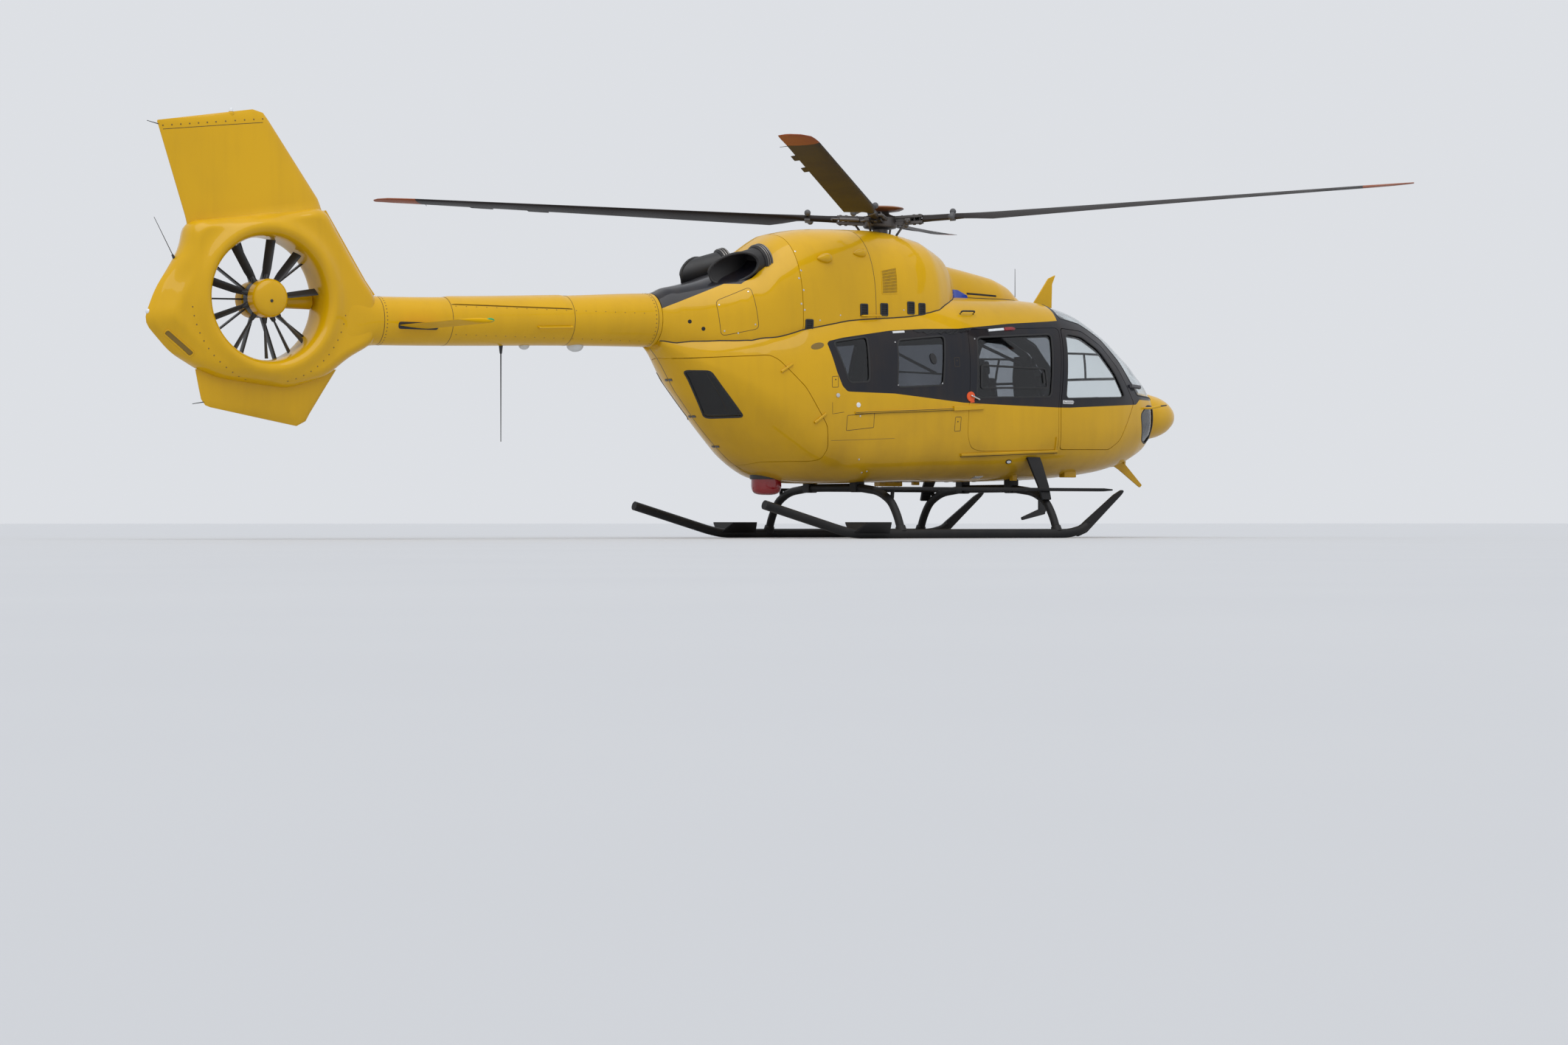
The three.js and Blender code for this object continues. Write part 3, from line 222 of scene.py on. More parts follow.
def skin(rows, x, angle, depth=0.0):
    """Points of a round-cornered skin on the starboard side. angle is seen from the widest line,
    -90 degrees at the bottom and 90 at the top. Along it the radius is that of a superellipse,
    (|cos|^p + |sin|^p)^(-1/p), stretched to the section's half width and height less depth."""
    x, angle = np.broadcast_arrays(np.asarray(x, float), np.asarray(angle, float))
    _, half, wide, low, high, upper, lower = np.moveaxis(rows_at(rows, x), -1, 0)
    up = np.sin(angle) > 0
    power = np.where(up, upper, lower)
    c, s = np.abs(np.cos(angle)), np.sin(angle)
    radius = (c**power + np.abs(s) ** power) ** (-1 / power)
    reach = np.where(up, high - wide, wide - low) - depth
    return np.stack([x, -(half - depth) * radius * np.cos(angle), wide + reach * radius * s], -1)


def angle_at_side(rows, x, z):
    """The skin's angle at a point of the side view; 90 degrees above or below the section."""
    _, _, wide, low, high, upper, lower = np.moveaxis(rows_at(rows, x), -1, 0)
    up = z > wide
    power = np.where(up, upper, lower)
    share = np.clip((z - wide) / np.where(up, high - wide, wide - low), -1, 1)
    return np.arctan2(share, (1 - np.abs(share) ** power) ** (1 / power))


def angle_at_plan(rows, x, y, way=1):
    """The skin's angle at a point of the plan view, on its upper (way 1) or lower half (-1)."""
    _, half, _, _, _, upper, lower = np.moveaxis(rows_at(rows, x), -1, 0)
    power = upper if way > 0 else lower
    share = np.clip(np.abs(y) / half, 0, 1)
    return way * np.arctan2((1 - share**power) ** (1 / power), share)


def unit(vectors):
    """A vector, or each of several, at a length of one."""
    v = np.asarray(vectors, float)
    return v / (np.linalg.norm(v, axis=-1, keepdims=True) if v.ndim > 1 else np.linalg.norm(v))


def columns(*values):
    """Points from their coordinates; a single number stands for every point."""
    return np.stack(np.broadcast_arrays(*values), -1)


def inset(points, distance):
    """The outline moved inwards, each corner along its mitre."""
    p = np.array(points)
    into = unit(p - np.roll(p, 1, 0))
    away = np.roll(into, -1, 0)
    turn = np.sign(np.sum(p[:, 0] * np.roll(p[:, 1], -1) - np.roll(p[:, 0], -1) * p[:, 1]))
    inward = unit(columns(-into[:, 1] - away[:, 1], into[:, 0] + away[:, 0]) * turn)
    side = columns(-into[:, 1], into[:, 0]) * turn
    mitre = distance / np.maximum(0.4, np.sum(inward * side, 1))
    return p + inward * mitre[:, None]


def rounded(points, radius, step=0.03):
    """A closed outline whose corners are quadratic curves that start radius from the corner,
    with points at most step apart."""
    p = np.array(points)
    back, on = np.roll(p, 1, 0) - p, np.roll(p, -1, 0) - p
    start, stop = p + unit(back) * radius, p + unit(on) * radius
    t = np.linspace(0, 1, 7)[None, :, None]
    curves = (1 - t) ** 2 * start[:, None] + 2 * t * (1 - t) * p[:, None] + t**2 * stop[:, None]
    line = curves.reshape(-1, 2)
    lengths = np.linalg.norm(np.roll(line, -1, 0) - line, axis=1)
    pieces = [
        a + (b - a) * np.arange(n)[:, None] / n
        for a, b, n in zip(line, np.roll(line, -1, 0), np.ceil(lengths / step).astype(int))
        if n
    ]
    return np.concatenate(pieces)


def inside(outline, x, z):
    """True where a point lies inside the outline: a level ray crosses it an odd number of times."""
    a, b = outline, np.roll(outline, -1, 0)
    x, z = x[:, None], z[:, None]
    spans = (a[:, 1] > z) != (b[:, 1] > z)
    rise = np.where(b[:, 1] == a[:, 1], 1.0, b[:, 1] - a[:, 1])
    cross = a[:, 0] + (z - a[:, 1]) / rise * (b[:, 0] - a[:, 0])
    return np.sum(spans & (x < cross), 1) % 2 == 1


def joined(forms):
    """Several forms as one. A form is its points and a list of face arrays."""
    points, faces, count = [], [], 0
    for form_points, form_faces in forms:
        points.append(form_points)
        faces += [f + count for f in form_faces]
        count += len(form_points)
    return np.concatenate(points), faces


def mirrored(form):
    """The form on the other side of the craft, with its faces turned to point outwards."""
    return form[0] * (1, -1, 1), [f[:, ::-1] for f in form[1]]


def welded(form, digits=5):
    """The form with points that lie together made one."""
    points, faces = form
    _, first, index = np.unique(
        points.round(digits), axis=0, return_index=True, return_inverse=True,
    )
    return points[first], [index.reshape(-1)[f] for f in faces]


def free_edges(faces):
    """The directed edges that only one triangle has."""
    edges = np.concatenate([faces[:, [0, 1]], faces[:, [1, 2]], faces[:, [2, 0]]])
    key = np.sort(edges, 1)
    _, index, counts = np.unique(key, axis=0, return_inverse=True, return_counts=True)
    return edges[counts[index.reshape(-1)] == 1]


def patch(rows, lines, keep, spacing=0.05):
    """A patch of a skin as points (x, angle) and triangles. The lines are kept as edges in a
    Delaunay triangulation over an even grid of points, and a triangle stays where keep is true
    at its middle."""
    low = np.min([line.min(0) for line in lines], 0)
    high = np.max([line.max(0) for line in lines], 0)
    count = np.ceil((high - low) / spacing).astype(int) + 1
    grid = np.stack(np.meshgrid(
        np.linspace(low[0], high[0], count[0]), np.linspace(low[1], high[1], count[1]),
    ), -1)
    grid[1::2, :, 0] += spacing / 2
    grid = grid.reshape(-1, 2)
    x, angle = grid.T
    margin = spacing / 3
    grid = grid[(x < high[0]) & (angle < high[1] - margin) & (angle > low[1] + margin)]
    fixed = np.concatenate(lines)
    near = np.zeros(len(grid), bool)
    for start in range(0, len(fixed), 400):
        gap = np.linalg.norm(grid[:, None] - fixed[None, start : start + 400], axis=2)
        near |= gap.min(1) < spacing * 0.6
    points = np.concatenate([fixed, grid[~near]])
    edges, count = [], 0
    for line in lines:
        n = len(line)
        closed = np.allclose(line[0], line[-1]) or n > 2
        edges += [(count + i, count + (i + 1) % n) for i in range(n if closed else n - 1)]
        count += n
    made = delaunay_2d_cdt([Vector(p) for p in points.tolist()], edges, [], 0, 1e-6)
    flat = np.array([v[:] for v in made[0]])
    faces = np.array(made[2])
    middle = flat[faces].mean(1)
    found = skin(rows, middle[:, 0], middle[:, 1])
    faces = faces[keep(*found.T, middle[:, 1])]
    used, faces = np.unique(faces, return_inverse=True)
    return flat[used], faces.reshape(-1, 3)


def walled(rows, flat, faces, near=0.0, far=WALL):
    """The patch as a closed sheet between two depths below the skin, with walls on its free edges.
    Edges in the craft's middle plane stay free, for the other half to join."""
    outer = skin(rows, flat[:, 0], flat[:, 1], near)
    inner = skin(rows, flat[:, 0], flat[:, 1], far)
    rim = free_edges(faces)
    rim = rim[np.abs(outer[rim, 1]).max(1) > 1e-4]
    n = len(flat)
    walls = np.stack([rim[:, 1], rim[:, 0], rim[:, 0] + n, rim[:, 1] + n], 1)
    return np.concatenate([outer, inner]), [faces, faces[:, ::-1] + n, walls]


def piece(name, form, material, slot, replaces="", body="airframe"):
    """Makes a form, or a list of forms, a smooth-shaded object that rides on a body of the frame.
    It takes the material given, and may stand for a CAD node; slot is not used."""
    mesh = bpy.data.meshes.new(name)
    points, faces = joined(form) if isinstance(form, list) else form
    mesh.from_pydata(
        (points + (MAST, 0, 0)).tolist(), [], [f for group in faces for f in group.tolist()],
    )
    mesh.update()
    mesh.shade_smooth()
    mesh.set_sharp_from_angle(angle=np.radians(SHARP_EDGE))
    mesh.materials.append(material)
    made = added(name, mesh)
    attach(made, body)
    if replaces:
        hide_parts(replaces)
    return made


def side_line(points, radius, shrink=0.0):
    """A side-view outline as a closed line on the pod's skin, and the outline itself."""
    outline = rounded(inset(points, shrink) if shrink else points, radius)
    x = np.clip(outline[:, 0], POD_ENDS[1], POD_ENDS[0])
    return columns(x, angle_at_side(POD, x, outline[:, 1])), outline


def plan_edge(y, way, front, rear):
    """The line on the pod's skin at a constant distance from the middle plane, there and back."""
    x = np.linspace(front, rear, int(abs(front - rear) / 0.03) + 2)
    line = columns(x, angle_at_plan(POD, x, y, way))
    return np.concatenate([line, line[-2:0:-1]])


def effect(name, inputs, outputs):
    """An empty shader node group with named inputs (label, kind, default) and outputs."""
    tree = bpy.data.node_groups.new(name, "ShaderNodeTree")
    for label, kind, default in inputs:
        socket = tree.interface.new_socket(label, in_out="INPUT", socket_type="NodeSocket" + kind)
        socket.default_value = default
    for label, kind in outputs:
        tree.interface.new_socket(label, in_out="OUTPUT", socket_type="NodeSocket" + kind)
    given = tree.nodes.new("NodeGroupInput").outputs
    wanted = tree.nodes.new("NodeGroupOutput").inputs
    return tree, given, wanted


def math(tree, operation, a, b=0.0, clamp=False):
    """The result of one Math node."""
    return node(tree, "Math", {0: a, 1: b}, operation=operation, use_clamp=clamp).outputs[0]


def place_of(tree):
    """Object coordinates one by one."""
    return node(tree, "SeparateXYZ", {0: placed(tree)}).outputs


def ramp(tree, value, start, end):
    """From 0 to 1 as a value goes from start to end."""
    values = {"Value": value, "From Min": start, "From Max": end}
    return node(tree, "MapRange", values).outputs["Result"]


# Dust and rain marks: cloudy patches and upright streaks; and painted shade with some grime, in
# cloudy patches that thicken towards the belly.
weather_and_shade, given, wanted = effect("weather_and_shade", [
    ("Patches", "Float", 0.3), ("Streaks", "Float", 0.2), ("Low shade and grime", "Float", 0.3),
], [("Dirt and shade", "Float"), ("Grain", "Float")])
patches = noise(weather_and_shade, placed(weather_and_shade), 1.7, 6.0)
streaks = noise(weather_and_shade, placed(weather_and_shade, (9.0, 9.0, 0.7)), 1.0, 5.0)
# Painted shade with some grime: darker towards the belly, below 1.5 m, in cloudy patches.
film = ramp(weather_and_shade, place_of(weather_and_shade)["Z"], 1.5, 0.5)
patch_share = math(weather_and_shade, "MULTIPLY", math(weather_and_shade, "SUBTRACT", patches, 0.42, True), given[0])
streak_share = math(weather_and_shade, "MULTIPLY", math(weather_and_shade, "SUBTRACT", streaks, 0.45, True), given[1])
belly_shade_share = math(weather_and_shade, "MULTIPLY", math(weather_and_shade, "MULTIPLY", film, patches), given[2])
dirt_and_shade = math(weather_and_shade, "ADD", math(weather_and_shade, "ADD", patch_share, streak_share), belly_shade_share, True)
weather_and_shade.links.new(dirt_and_shade, wanted["Dirt and shade"])
weather_and_shade.links.new(noise(weather_and_shade, placed(weather_and_shade), 160.0, 2.0), wanted["Grain"])


def weathered_and_shaded(name, colour, grime_and_shade_colour, roughness, amounts, bump=0.0006, **constants):
    """A finish whose colour and roughness change with the group's dirt and its painted belly shade.
    """

    def marks(tree):
        found = tree.nodes.get("marks")
        if found is None:
            found = node(tree, "Group", enumerate(amounts), node_tree=weather_and_shade, name="marks")
        return found.outputs

    def colour_of(tree):
        base = colour(tree) if callable(colour) else colour
        return mixed(tree, marks(tree)["Dirt and shade"], base, grime_and_shade_colour)

    def roughness_of(tree):
        return math(tree, "ADD", math(tree, "MULTIPLY", marks(tree)["Dirt and shade"], 0.5), roughness, True)

    def normal_of(tree):
        values = {"Height": marks(tree)["Grain"], "Distance": bump, "Strength": 0.35}
        return node(tree, "Bump", values).outputs["Normal"]

    return finish(name, colour_of, roughness_of, normal=normal_of, **constants)


YELLOW = (0.63, 0.352, 0.001, 1)
CHARCOAL = (0.006, 0.007, 0.012, 1)
# Paint darkens to this colour with dirt, and with the painted shade towards the belly.
GRIME_AND_SHADE = (0.13, 0.068, 0.012, 1)

livery, given, wanted = effect("livery", [
    ("Paint", "Color", YELLOW), ("Band", "Color", CHARCOAL),
], [("Color", "Color")])
place = place_of(livery)
BAND_START, BAND_END, BAND_HEIGHT = BAND[0][0] - 0.002, BAND[-1][0], 3.0
along = ramp(livery, place["X"], BAND_START + MAST, BAND_END + MAST)
edges = []
for column in (1, 2):
    curve = node(livery, "FloatCurve", {"Value": along})
    line = curve.mapping.curves[0].points
    for row in BAND[1:-1]:
        line.new((row[0] - BAND_START) / (BAND_END - BAND_START), row[column] / BAND_HEIGHT)
    for row, end in ((BAND[0], 0), (BAND[-1], len(line) - 1)):
        line[end].location = (float(end > 0), row[column] / BAND_HEIGHT)
    for point in line:
        point.handle_type = "VECTOR"
    curve.mapping.update()
    edges.append(math(livery, "MULTIPLY", curve.outputs[0], BAND_HEIGHT))
over = math(livery, "GREATER_THAN", place["Z"], edges[0])
under = math(livery, "LESS_THAN", place["Z"], edges[1])
ahead = math(livery, "GREATER_THAN", place["X"], BAND[0][0] + MAST)
band_share = math(livery, "MULTIPLY", math(livery, "MULTIPLY", over, under), ahead)
# The rubber seal down the centre between the rear doors is black too: half width, front, top
SEAL_HALF, SEAL_FRONT, SEAL_TOP = 0.0056, -1.75, 1.9
narrow = math(livery, "LESS_THAN", math(livery, "ABSOLUTE", place["Y"]), SEAL_HALF)
behind = math(livery, "LESS_THAN", place["X"], MAST + SEAL_FRONT)
below = math(livery, "LESS_THAN", place["Z"], SEAL_TOP)
seal = math(livery, "MULTIPLY", math(livery, "MULTIPLY", narrow, behind), below)
dark_share = math(livery, "MAXIMUM", band_share, seal)
livery.links.new(mixed(livery, dark_share, given["Paint"], given["Band"]), wanted["Color"])


def livery_colour(tree):
    """The cabin's colours, from the livery group."""
    colours = {"Paint": YELLOW, "Band": CHARCOAL}
    return node(tree, "Group", colours, node_tree=livery).outputs["Color"]


GLOSS = {"Specular_IOR_Level": 0.15, "Coat_Weight": 0.42, "Coat_Roughness": 0.03}
# The third amount of each finish is its painted shade towards the belly, with some grime.
cabin_paint = weathered_and_shaded("cabin_paint", livery_colour, GRIME_AND_SHADE, 0.3, (0.22, 0.2, 0.75), **GLOSS)
yellow_paint = weathered_and_shaded("yellow_paint", YELLOW, GRIME_AND_SHADE, 0.3, (0.22, 0.2, 0.7), **GLOSS)
lining_finish = weathered_and_shaded(
    "cabin_lining", (0.075, 0.08, 0.088, 1), (0.05, 0.048, 0.045, 1), 0.7, (0.5, 0.0, 0.0),
    bump=0.001,
)

# Each opening: name, outline, corner radius, and how far from the middle plane it ends
FIXED_PANES = [
    ("middle_window", MIDDLE_PANE, 0.06, 0.0), ("rear_window", REAR_PANE, 0.05, 0.0),
    ("windscreen", WINDSCREEN, 0.04, POST), ("chin_window", CHIN_PANE, 0.05, CHIN_INNER),
]
openings = [
    ("cockpit_door", COCKPIT_DOOR, 0.04, 0.0), ("sliding_door", SLIDING_DOOR, 0.06, 0.0),
    ("clamshell_door", CLAMSHELL, 0.04, CENTRE_GAP), *FIXED_PANES,
]
# Edges in the plan view: name of the opening, upper or lower skin, from x, to x
PLAN_EDGES = [
    ("clamshell_door", -1, -1.7, -2.9), ("windscreen", 1, 3.53, 1.85),
    ("chin_window", -1, 3.45, 2.95), ("chin_window", 1, 3.45, 2.95),
]
along = np.linspace(*POD_ENDS, 140)
across = np.linspace(-np.pi / 2, np.pi / 2, 60)[1:-1]
keel_line, tail_end = columns(along, -np.pi / 2), columns(POD_ENDS[1], across)
roof_line, nose_end = columns(along[::-1], np.pi / 2), columns(POD_ENDS[0], across[::-1])
border = np.concatenate([keel_line, tail_end, roof_line, nose_end])
reaches = {name: near for name, _, _, near in openings}
shell_lines = [border] + [side_line(points, radius)[0] for _, points, radius, _ in openings]
shell_lines += [plan_edge(reaches[name], way, front, rear) for name, way, front, rear in PLAN_EDGES]
holes = [(side_line(points, radius)[1], near) for _, points, radius, near in openings]


def shell_keeps(x, y, z, _):
    """True where the cabin's skin is: outside every opening."""
    gone = np.zeros(len(x), bool)
    for outline, near in holes:
        gone |= inside(outline, x, z) & (np.abs(y) > near)
    return ~gone


half_shell = walled(POD, *patch(POD, shell_lines, shell_keeps))
cabin_skin = welded(joined([half_shell, mirrored(half_shell)]))
piece("cabin_skin", cabin_skin, cabin_paint, "yellow_composite", "cabin_shell")

# A dark grey lining covers the inside of the wall
LINING = (WALL + 0.003, WALL + 0.006)
half_lining = walled(POD, *patch(POD, shell_lines, shell_keeps, 0.12), *LINING)
piece(
    "cabin_lining", welded(joined([half_lining, mirrored(half_lining)])), lining_finish,
    "floor_lining",
)


# Doors: composite leaves as thick as the cabin wall. The cockpit doors hang at their front edge,
# the sliding doors run on rails, and the two clamshell doors meet at the middle behind.
COCKPIT_PANE = [(1.81, 1.465), (1.895, 2.165), (2.14, 2.145), (2.4, 2.0), (2.61, 1.76), (2.75, 1.5)]
SLIDING_PANE = [(0.605, 1.45), (1.61, 1.48), (1.69, 2.15), (0.665, 2.085)]
CLAMSHELL_PANE = [(-2.61, 1.672), (-2.41, 1.668), (-2.29, 1.515), (-2.04, 1.215), (-2.29, 1.205)]
DOOR_GAP = 0.007  # round a hinged door
SLIDING_GAP = 0.004


def pairs(*rows):
    """Starboard pieces, named right, and then their mirror images to port, named left. A row is
    what piece takes, with {} for the side in the name of the node or the body."""
    for side in ("right", "left"):
        for name, form, material, slot, replaces, body in rows:
            form = joined(form) if isinstance(form, list) else form
            form = form if side == "right" else mirrored(form)
            piece(f"{name}_{side}", form, material, slot, replaces.format(side), body.format(side))


def leaf(points, pane, radius, pane_radius, gap, near=0.0):
    """The starboard half of a pair of doors, less its pane."""
    line, outline = side_line(points, radius, gap)
    pane_line, pane_outline = side_line(pane, pane_radius)
    lines = [line, pane_line]
    if near:
        lines.append(plan_edge(near, -1, -1.7, -2.9))

    def keeps(x, y, z, _):
        return inside(outline, x, z) & ~inside(pane_outline, x, z) & (np.abs(y) > near)

    flat, faces = patch(POD, lines, keeps, 0.045)
    return walled(POD, flat, faces), walled(POD, flat, faces, *LINING)


cockpit_leaf = leaf(COCKPIT_DOOR, COCKPIT_PANE, 0.04, 0.06, DOOR_GAP)
sliding_leaf = leaf(SLIDING_DOOR, SLIDING_PANE, 0.06, 0.06, SLIDING_GAP)
clamshell_leaf = leaf(CLAMSHELL, CLAMSHELL_PANE, 0.04, 0.04, DOOR_GAP, CENTRE_GAP)
door_rows = []
for name, (form, inner), paint, body in (
    ("cockpit_door", cockpit_leaf, cabin_paint, "cockpit_door_{}"),
    ("sliding_door", sliding_leaf, cabin_paint, "airframe"),
    ("clamshell_door", clamshell_leaf, yellow_paint, "clamshell_{}"),
):
    door_rows.append((name + "_leaf", form, paint, "yellow_composite", name + "_{}", body))
    door_rows.append((name + "_lining", inner, lining_finish, "floor_lining", "", body))
pairs(*door_rows)


# Windows: bulged acrylic panes 6 mm thick, moulded hot to the cabin's curve and held 12 mm below
# its skin in black rubber seals. The windscreen and the pilots' doors are clear, the rest smoked.
GLASS_DEPTH = 0.012
GLASS = 0.006
SEAL = 0.011
# Each pane: name, outline, corner radius, how far from the middle plane it ends, body
WINDOWS = [
    ("cockpit_door_glass", COCKPIT_PANE, 0.06, 0.0, "cockpit_door_{}"),
    ("sliding_door_glass", SLIDING_PANE, 0.06, 0.0, "airframe"),
    ("clamshell_glass", CLAMSHELL_PANE, 0.04, 0.0, "clamshell_{}"),
    *[(*pane, "airframe") for pane in FIXED_PANES],
]


def pane_finish(name, dark, light):
    """Acrylic, a little uneven in tint and polish."""

    def polish(tree):
        return math(tree, "MULTIPLY", noise(tree, placed(tree), 6.0), 0.05)

    return finish(name, clouded(2.5, dark, light), polish, Transmission_Weight=1.0, IOR=1.45)


clear_glazing = pane_finish("clear_glazing", (0.83, 0.87, 0.88, 1), (0.88, 0.91, 0.92, 1))
smoked_glazing = pane_finish("smoked_glazing", (0.22, 0.235, 0.26, 1), (0.29, 0.305, 0.33, 1))
CLEAR = ("cockpit_door_glass", "windscreen")
rubber = weathered_and_shaded(
    "window_rubber", (0.012, 0.012, 0.013, 1), (0.07, 0.065, 0.06, 1), 0.6, (0.4, 0.2, 0.1),
)


def turns_of(count):
    """Even steps of a full turn, in radians."""
    return np.arange(count) * 2 * np.pi / count


def circle(radius, sides=12):
    """Points round a circle, counter-clockwise."""
    a = turns_of(sides)
    return radius * columns(np.cos(a), np.sin(a))


def grid_faces(rows, across, closed_rows=False, closed_columns=True):
    """Quads between neighbouring rows of a grid of points."""
    i = np.arange(rows if closed_rows else rows - 1)[:, None]
    j = np.arange(across if closed_columns else across - 1)[None, :]
    k, m = (i + 1) % rows, (j + 1) % across
    corners = [i * across + j, k * across + j, k * across + m, i * across + m]
    return columns(*corners).reshape(-1, 4)


def outward(form):
    """The form with its faces turned, if need be, so that the volume they enclose is positive."""
    points, faces = form
    middle = points.mean(0)
    volume = sum(
        np.sum(
            (points[f[:, 0]] - middle)
            * np.cross(points[f[:, k]] - middle, points[f[:, k + 1]] - middle)
        )
        for f in faces
        for k in range(1, f.shape[1] - 1)
    )
    return (points, [f[:, ::-1] for f in faces]) if volume < 0 else form


def lofted(rings, closed=False):
    """A skin over rings of equally many points, closed by a flat face at each end, or joined
    end to end where closed."""
    rings = np.asarray(rings, float)
    count, sides = rings.shape[:2]
    faces = [grid_faces(count, sides, closed)]
    if not closed:
        ends = np.arange(sides)[None]
        faces += [ends, ends[:, ::-1] + (count - 1) * sides]
    return outward((rings.reshape(-1, 3), faces))


def swept(path, profile, normals, closed=False, sizes=1.0):
    """A profile of (across, up) points carried along a path. Up is the given normal, made square
    to the path; across is the path's direction times up. sizes scales it at each point."""
    path = np.asarray(path, float)
    ahead = np.roll(path, -1, 0) - np.roll(path, 1, 0) if closed else np.gradient(path, axis=0)
    ahead = unit(ahead)
    up = np.array(np.broadcast_to(normals, path.shape), float)
    up = unit(up - np.sum(up * ahead, 1)[:, None] * ahead)
    across = np.cross(ahead, up)
    shape = profile[None] * np.broadcast_to(sizes, len(path))[:, None, None]
    rings = path[:, None] + across[:, None] * shape[..., :1] + up[:, None] * shape[..., 1:]
    return lofted(rings, closed)


def skin_normal(rows, x, angle):
    """The outward normal of a skin, from the steps along it to either side."""
    step = 1e-3
    ahead = skin(rows, x + step, angle) - skin(rows, x - step, angle)
    up = skin(rows, x, angle + step) - skin(rows, x, angle - step)
    return unit(np.cross(ahead, up))


def loop_of(faces):
    """The corner numbers round a patch's free edge, in order."""
    after = dict(free_edges(faces).tolist())
    order = [next(iter(after))]
    while after[order[-1]] != order[0]:
        order.append(after[order[-1]])
    return np.array(order)


pane_forms = {}
for name, points, radius, near, body in WINDOWS:
    line, outline = side_line(points, radius, 0.0004)
    lines = [line]
    if name in ("windscreen", "chin_window"):
        lines += [plan_edge(reaches[name], w, f, r) for n, w, f, r in PLAN_EDGES if n == name]

    def keeps(x, y, z, _):
        return inside(outline, x, z) & (np.abs(y) > near)

    flat, faces = patch(POD, lines, keeps, 0.05)
    pane = walled(POD, flat, faces, GLASS_DEPTH, GLASS_DEPTH + GLASS)
    pane_forms[name] = pane
    edge = flat[loop_of(faces)]
    seal = swept(
        skin(POD, *edge.T, 0.004), circle(SEAL, 8) * (1, 0.7), skin_normal(POD, *edge.T),
        closed=True,
    )
    glazing = clear_glazing if name in CLEAR else smoked_glazing
    pairs(
        (name + "_pane", pane, glazing, "glazing", name + "_{}", body),
        (name + "_seal", seal, rubber, "black_composite", "", body),
    )


# Cowlings: two thin composite fairings over the engines and the gearbox, latched to the roof.
# The front one carries on as a low hump over the control rods.
COWL = np.array([
    [1.9, 0.07, 2.38, 2.3, 2.5, 2.0, 2.0], [1.8, 0.12, 2.4, 2.3, 2.56, 2.0, 2.0],
    [1.62, 0.2, 2.42, 2.25, 2.685, 2.1, 2.1], [1.4, 0.28, 2.43, 2.2, 2.765, 2.2, 2.2],
    [1.05, 0.32, 2.44, 2.2, 2.83, 2.2, 2.2], [0.71, 0.335, 2.42, 2.15, 2.89, 2.3, 2.2],
    [0.62, 0.44, 2.38, 2.15, 2.98, 2.4, 2.4], [0.5, 0.53, 2.33, 2.1, 3.04, 2.4, 2.6],
    [0.3, 0.63, 2.29, 2.05, 3.12, 2.5, 2.8], [-0.1, 0.685, 2.28, 2.05, 3.19, 2.5, 2.8],
    [-0.8, 0.69, 2.25, 2.0, 3.185, 2.5, 2.8], [-1.15, 0.688, 2.21, 1.98, 3.16, 2.5, 2.8],
    [-1.45, 0.68, 2.18, 1.95, 3.1, 2.5, 2.8], [-1.6, 0.665, 2.15, 1.85, 3.01, 2.5, 2.8],
    [-1.74, 0.645, 2.13, 1.8, 2.9, 2.6, 2.8], [-1.9, 0.6, 2.12, 1.75, 2.75, 2.7, 2.8],
    [-2.05, 0.56, 2.11, 1.75, 2.69, 2.7, 2.8], [-2.4, 0.43, 2.12, 1.8, 2.58, 2.6, 2.5],
    [-2.7, 0.32, 2.15, 1.85, 2.51, 2.3, 2.3], [-2.858, 0.262, 2.18, 1.912, 2.448, 2.1, 2.1],
])
COWL_WALL = 0.014
COWL_SPLIT = -1.4495
MAST_OPENING = 0.262  # radius of the hole for the mast, in the roof above this height
MAST_OPENING_ABOVE = 2.9


def roundness(rows, points):
    """Below zero inside a skin: |y / half width|^p + |height / reach|^p - 1."""
    x, y, z = np.moveaxis(points, -1, 0)
    _, half, wide, low, high, upper, lower = np.moveaxis(rows_at(rows, x), -1, 0)
    up = z > wide
    power = np.where(up, upper, lower)
    reach = np.where(up, high - wide, wide - low)
    return np.abs(y / half) ** power + np.abs((z - wide) / reach) ** power - 1


def seam_angles(x):
    """The cowl's angles at which it meets the cabin's skin: the last one that lies inside it."""
    angles = np.linspace(-np.pi / 2, np.pi / 2, 721)
    found = skin(COWL, x[:, None], angles[None])
    within = roundness(POD, found) < 0
    return angles[within.shape[1] - 1 - np.argmax(within[:, ::-1], 1)]


SUNK = 0.05  # how far the edge of a cowl goes below the cabin's skin, in radians
cowl_x = np.arange(COWL[0, 0] - 0.002, COWL[-1, 0] + 0.001, -0.03)
cowl_seam = seam_angles(cowl_x)


def cowl_half(front, rear):
    """The starboard half of a cowl between two stations, with the opening for the mast."""
    x = np.concatenate([[front], cowl_x[(cowl_x < front - 0.01) & (cowl_x > rear + 0.01)], [rear]])
    low = np.interp(x, cowl_x[::-1], (cowl_seam - SUNK)[::-1])
    ends = []
    for at, start, stop in ((rear, low[-1], np.pi / 2), (front, np.pi / 2, low[0])):
        a = np.linspace(start, stop, int(abs(stop - start) / 0.04) + 2)[1:-1]
        ends.append(columns(at, a))
    border = np.concatenate([columns(x, low), ends[0], columns(x[::-1], np.pi / 2), ends[1]])
    lines = [border]
    if front > 0 > rear:
        a = np.linspace(0, np.pi, 25)
        hole_x = MAST_OPENING * np.cos(a)
        hole = columns(hole_x, angle_at_plan(COWL, hole_x, MAST_OPENING * np.sin(a)))
        lines.append(np.concatenate([hole, hole[-2:0:-1]]))

    def keeps(px, py, pz, angle):
        sits = angle > np.interp(px, x[::-1], low[::-1])
        return sits & ~((np.hypot(px, py) < MAST_OPENING) & (pz > MAST_OPENING_ABOVE))

    return walled(COWL, *patch(COWL, lines, keeps, 0.04), 0.0, COWL_WALL)


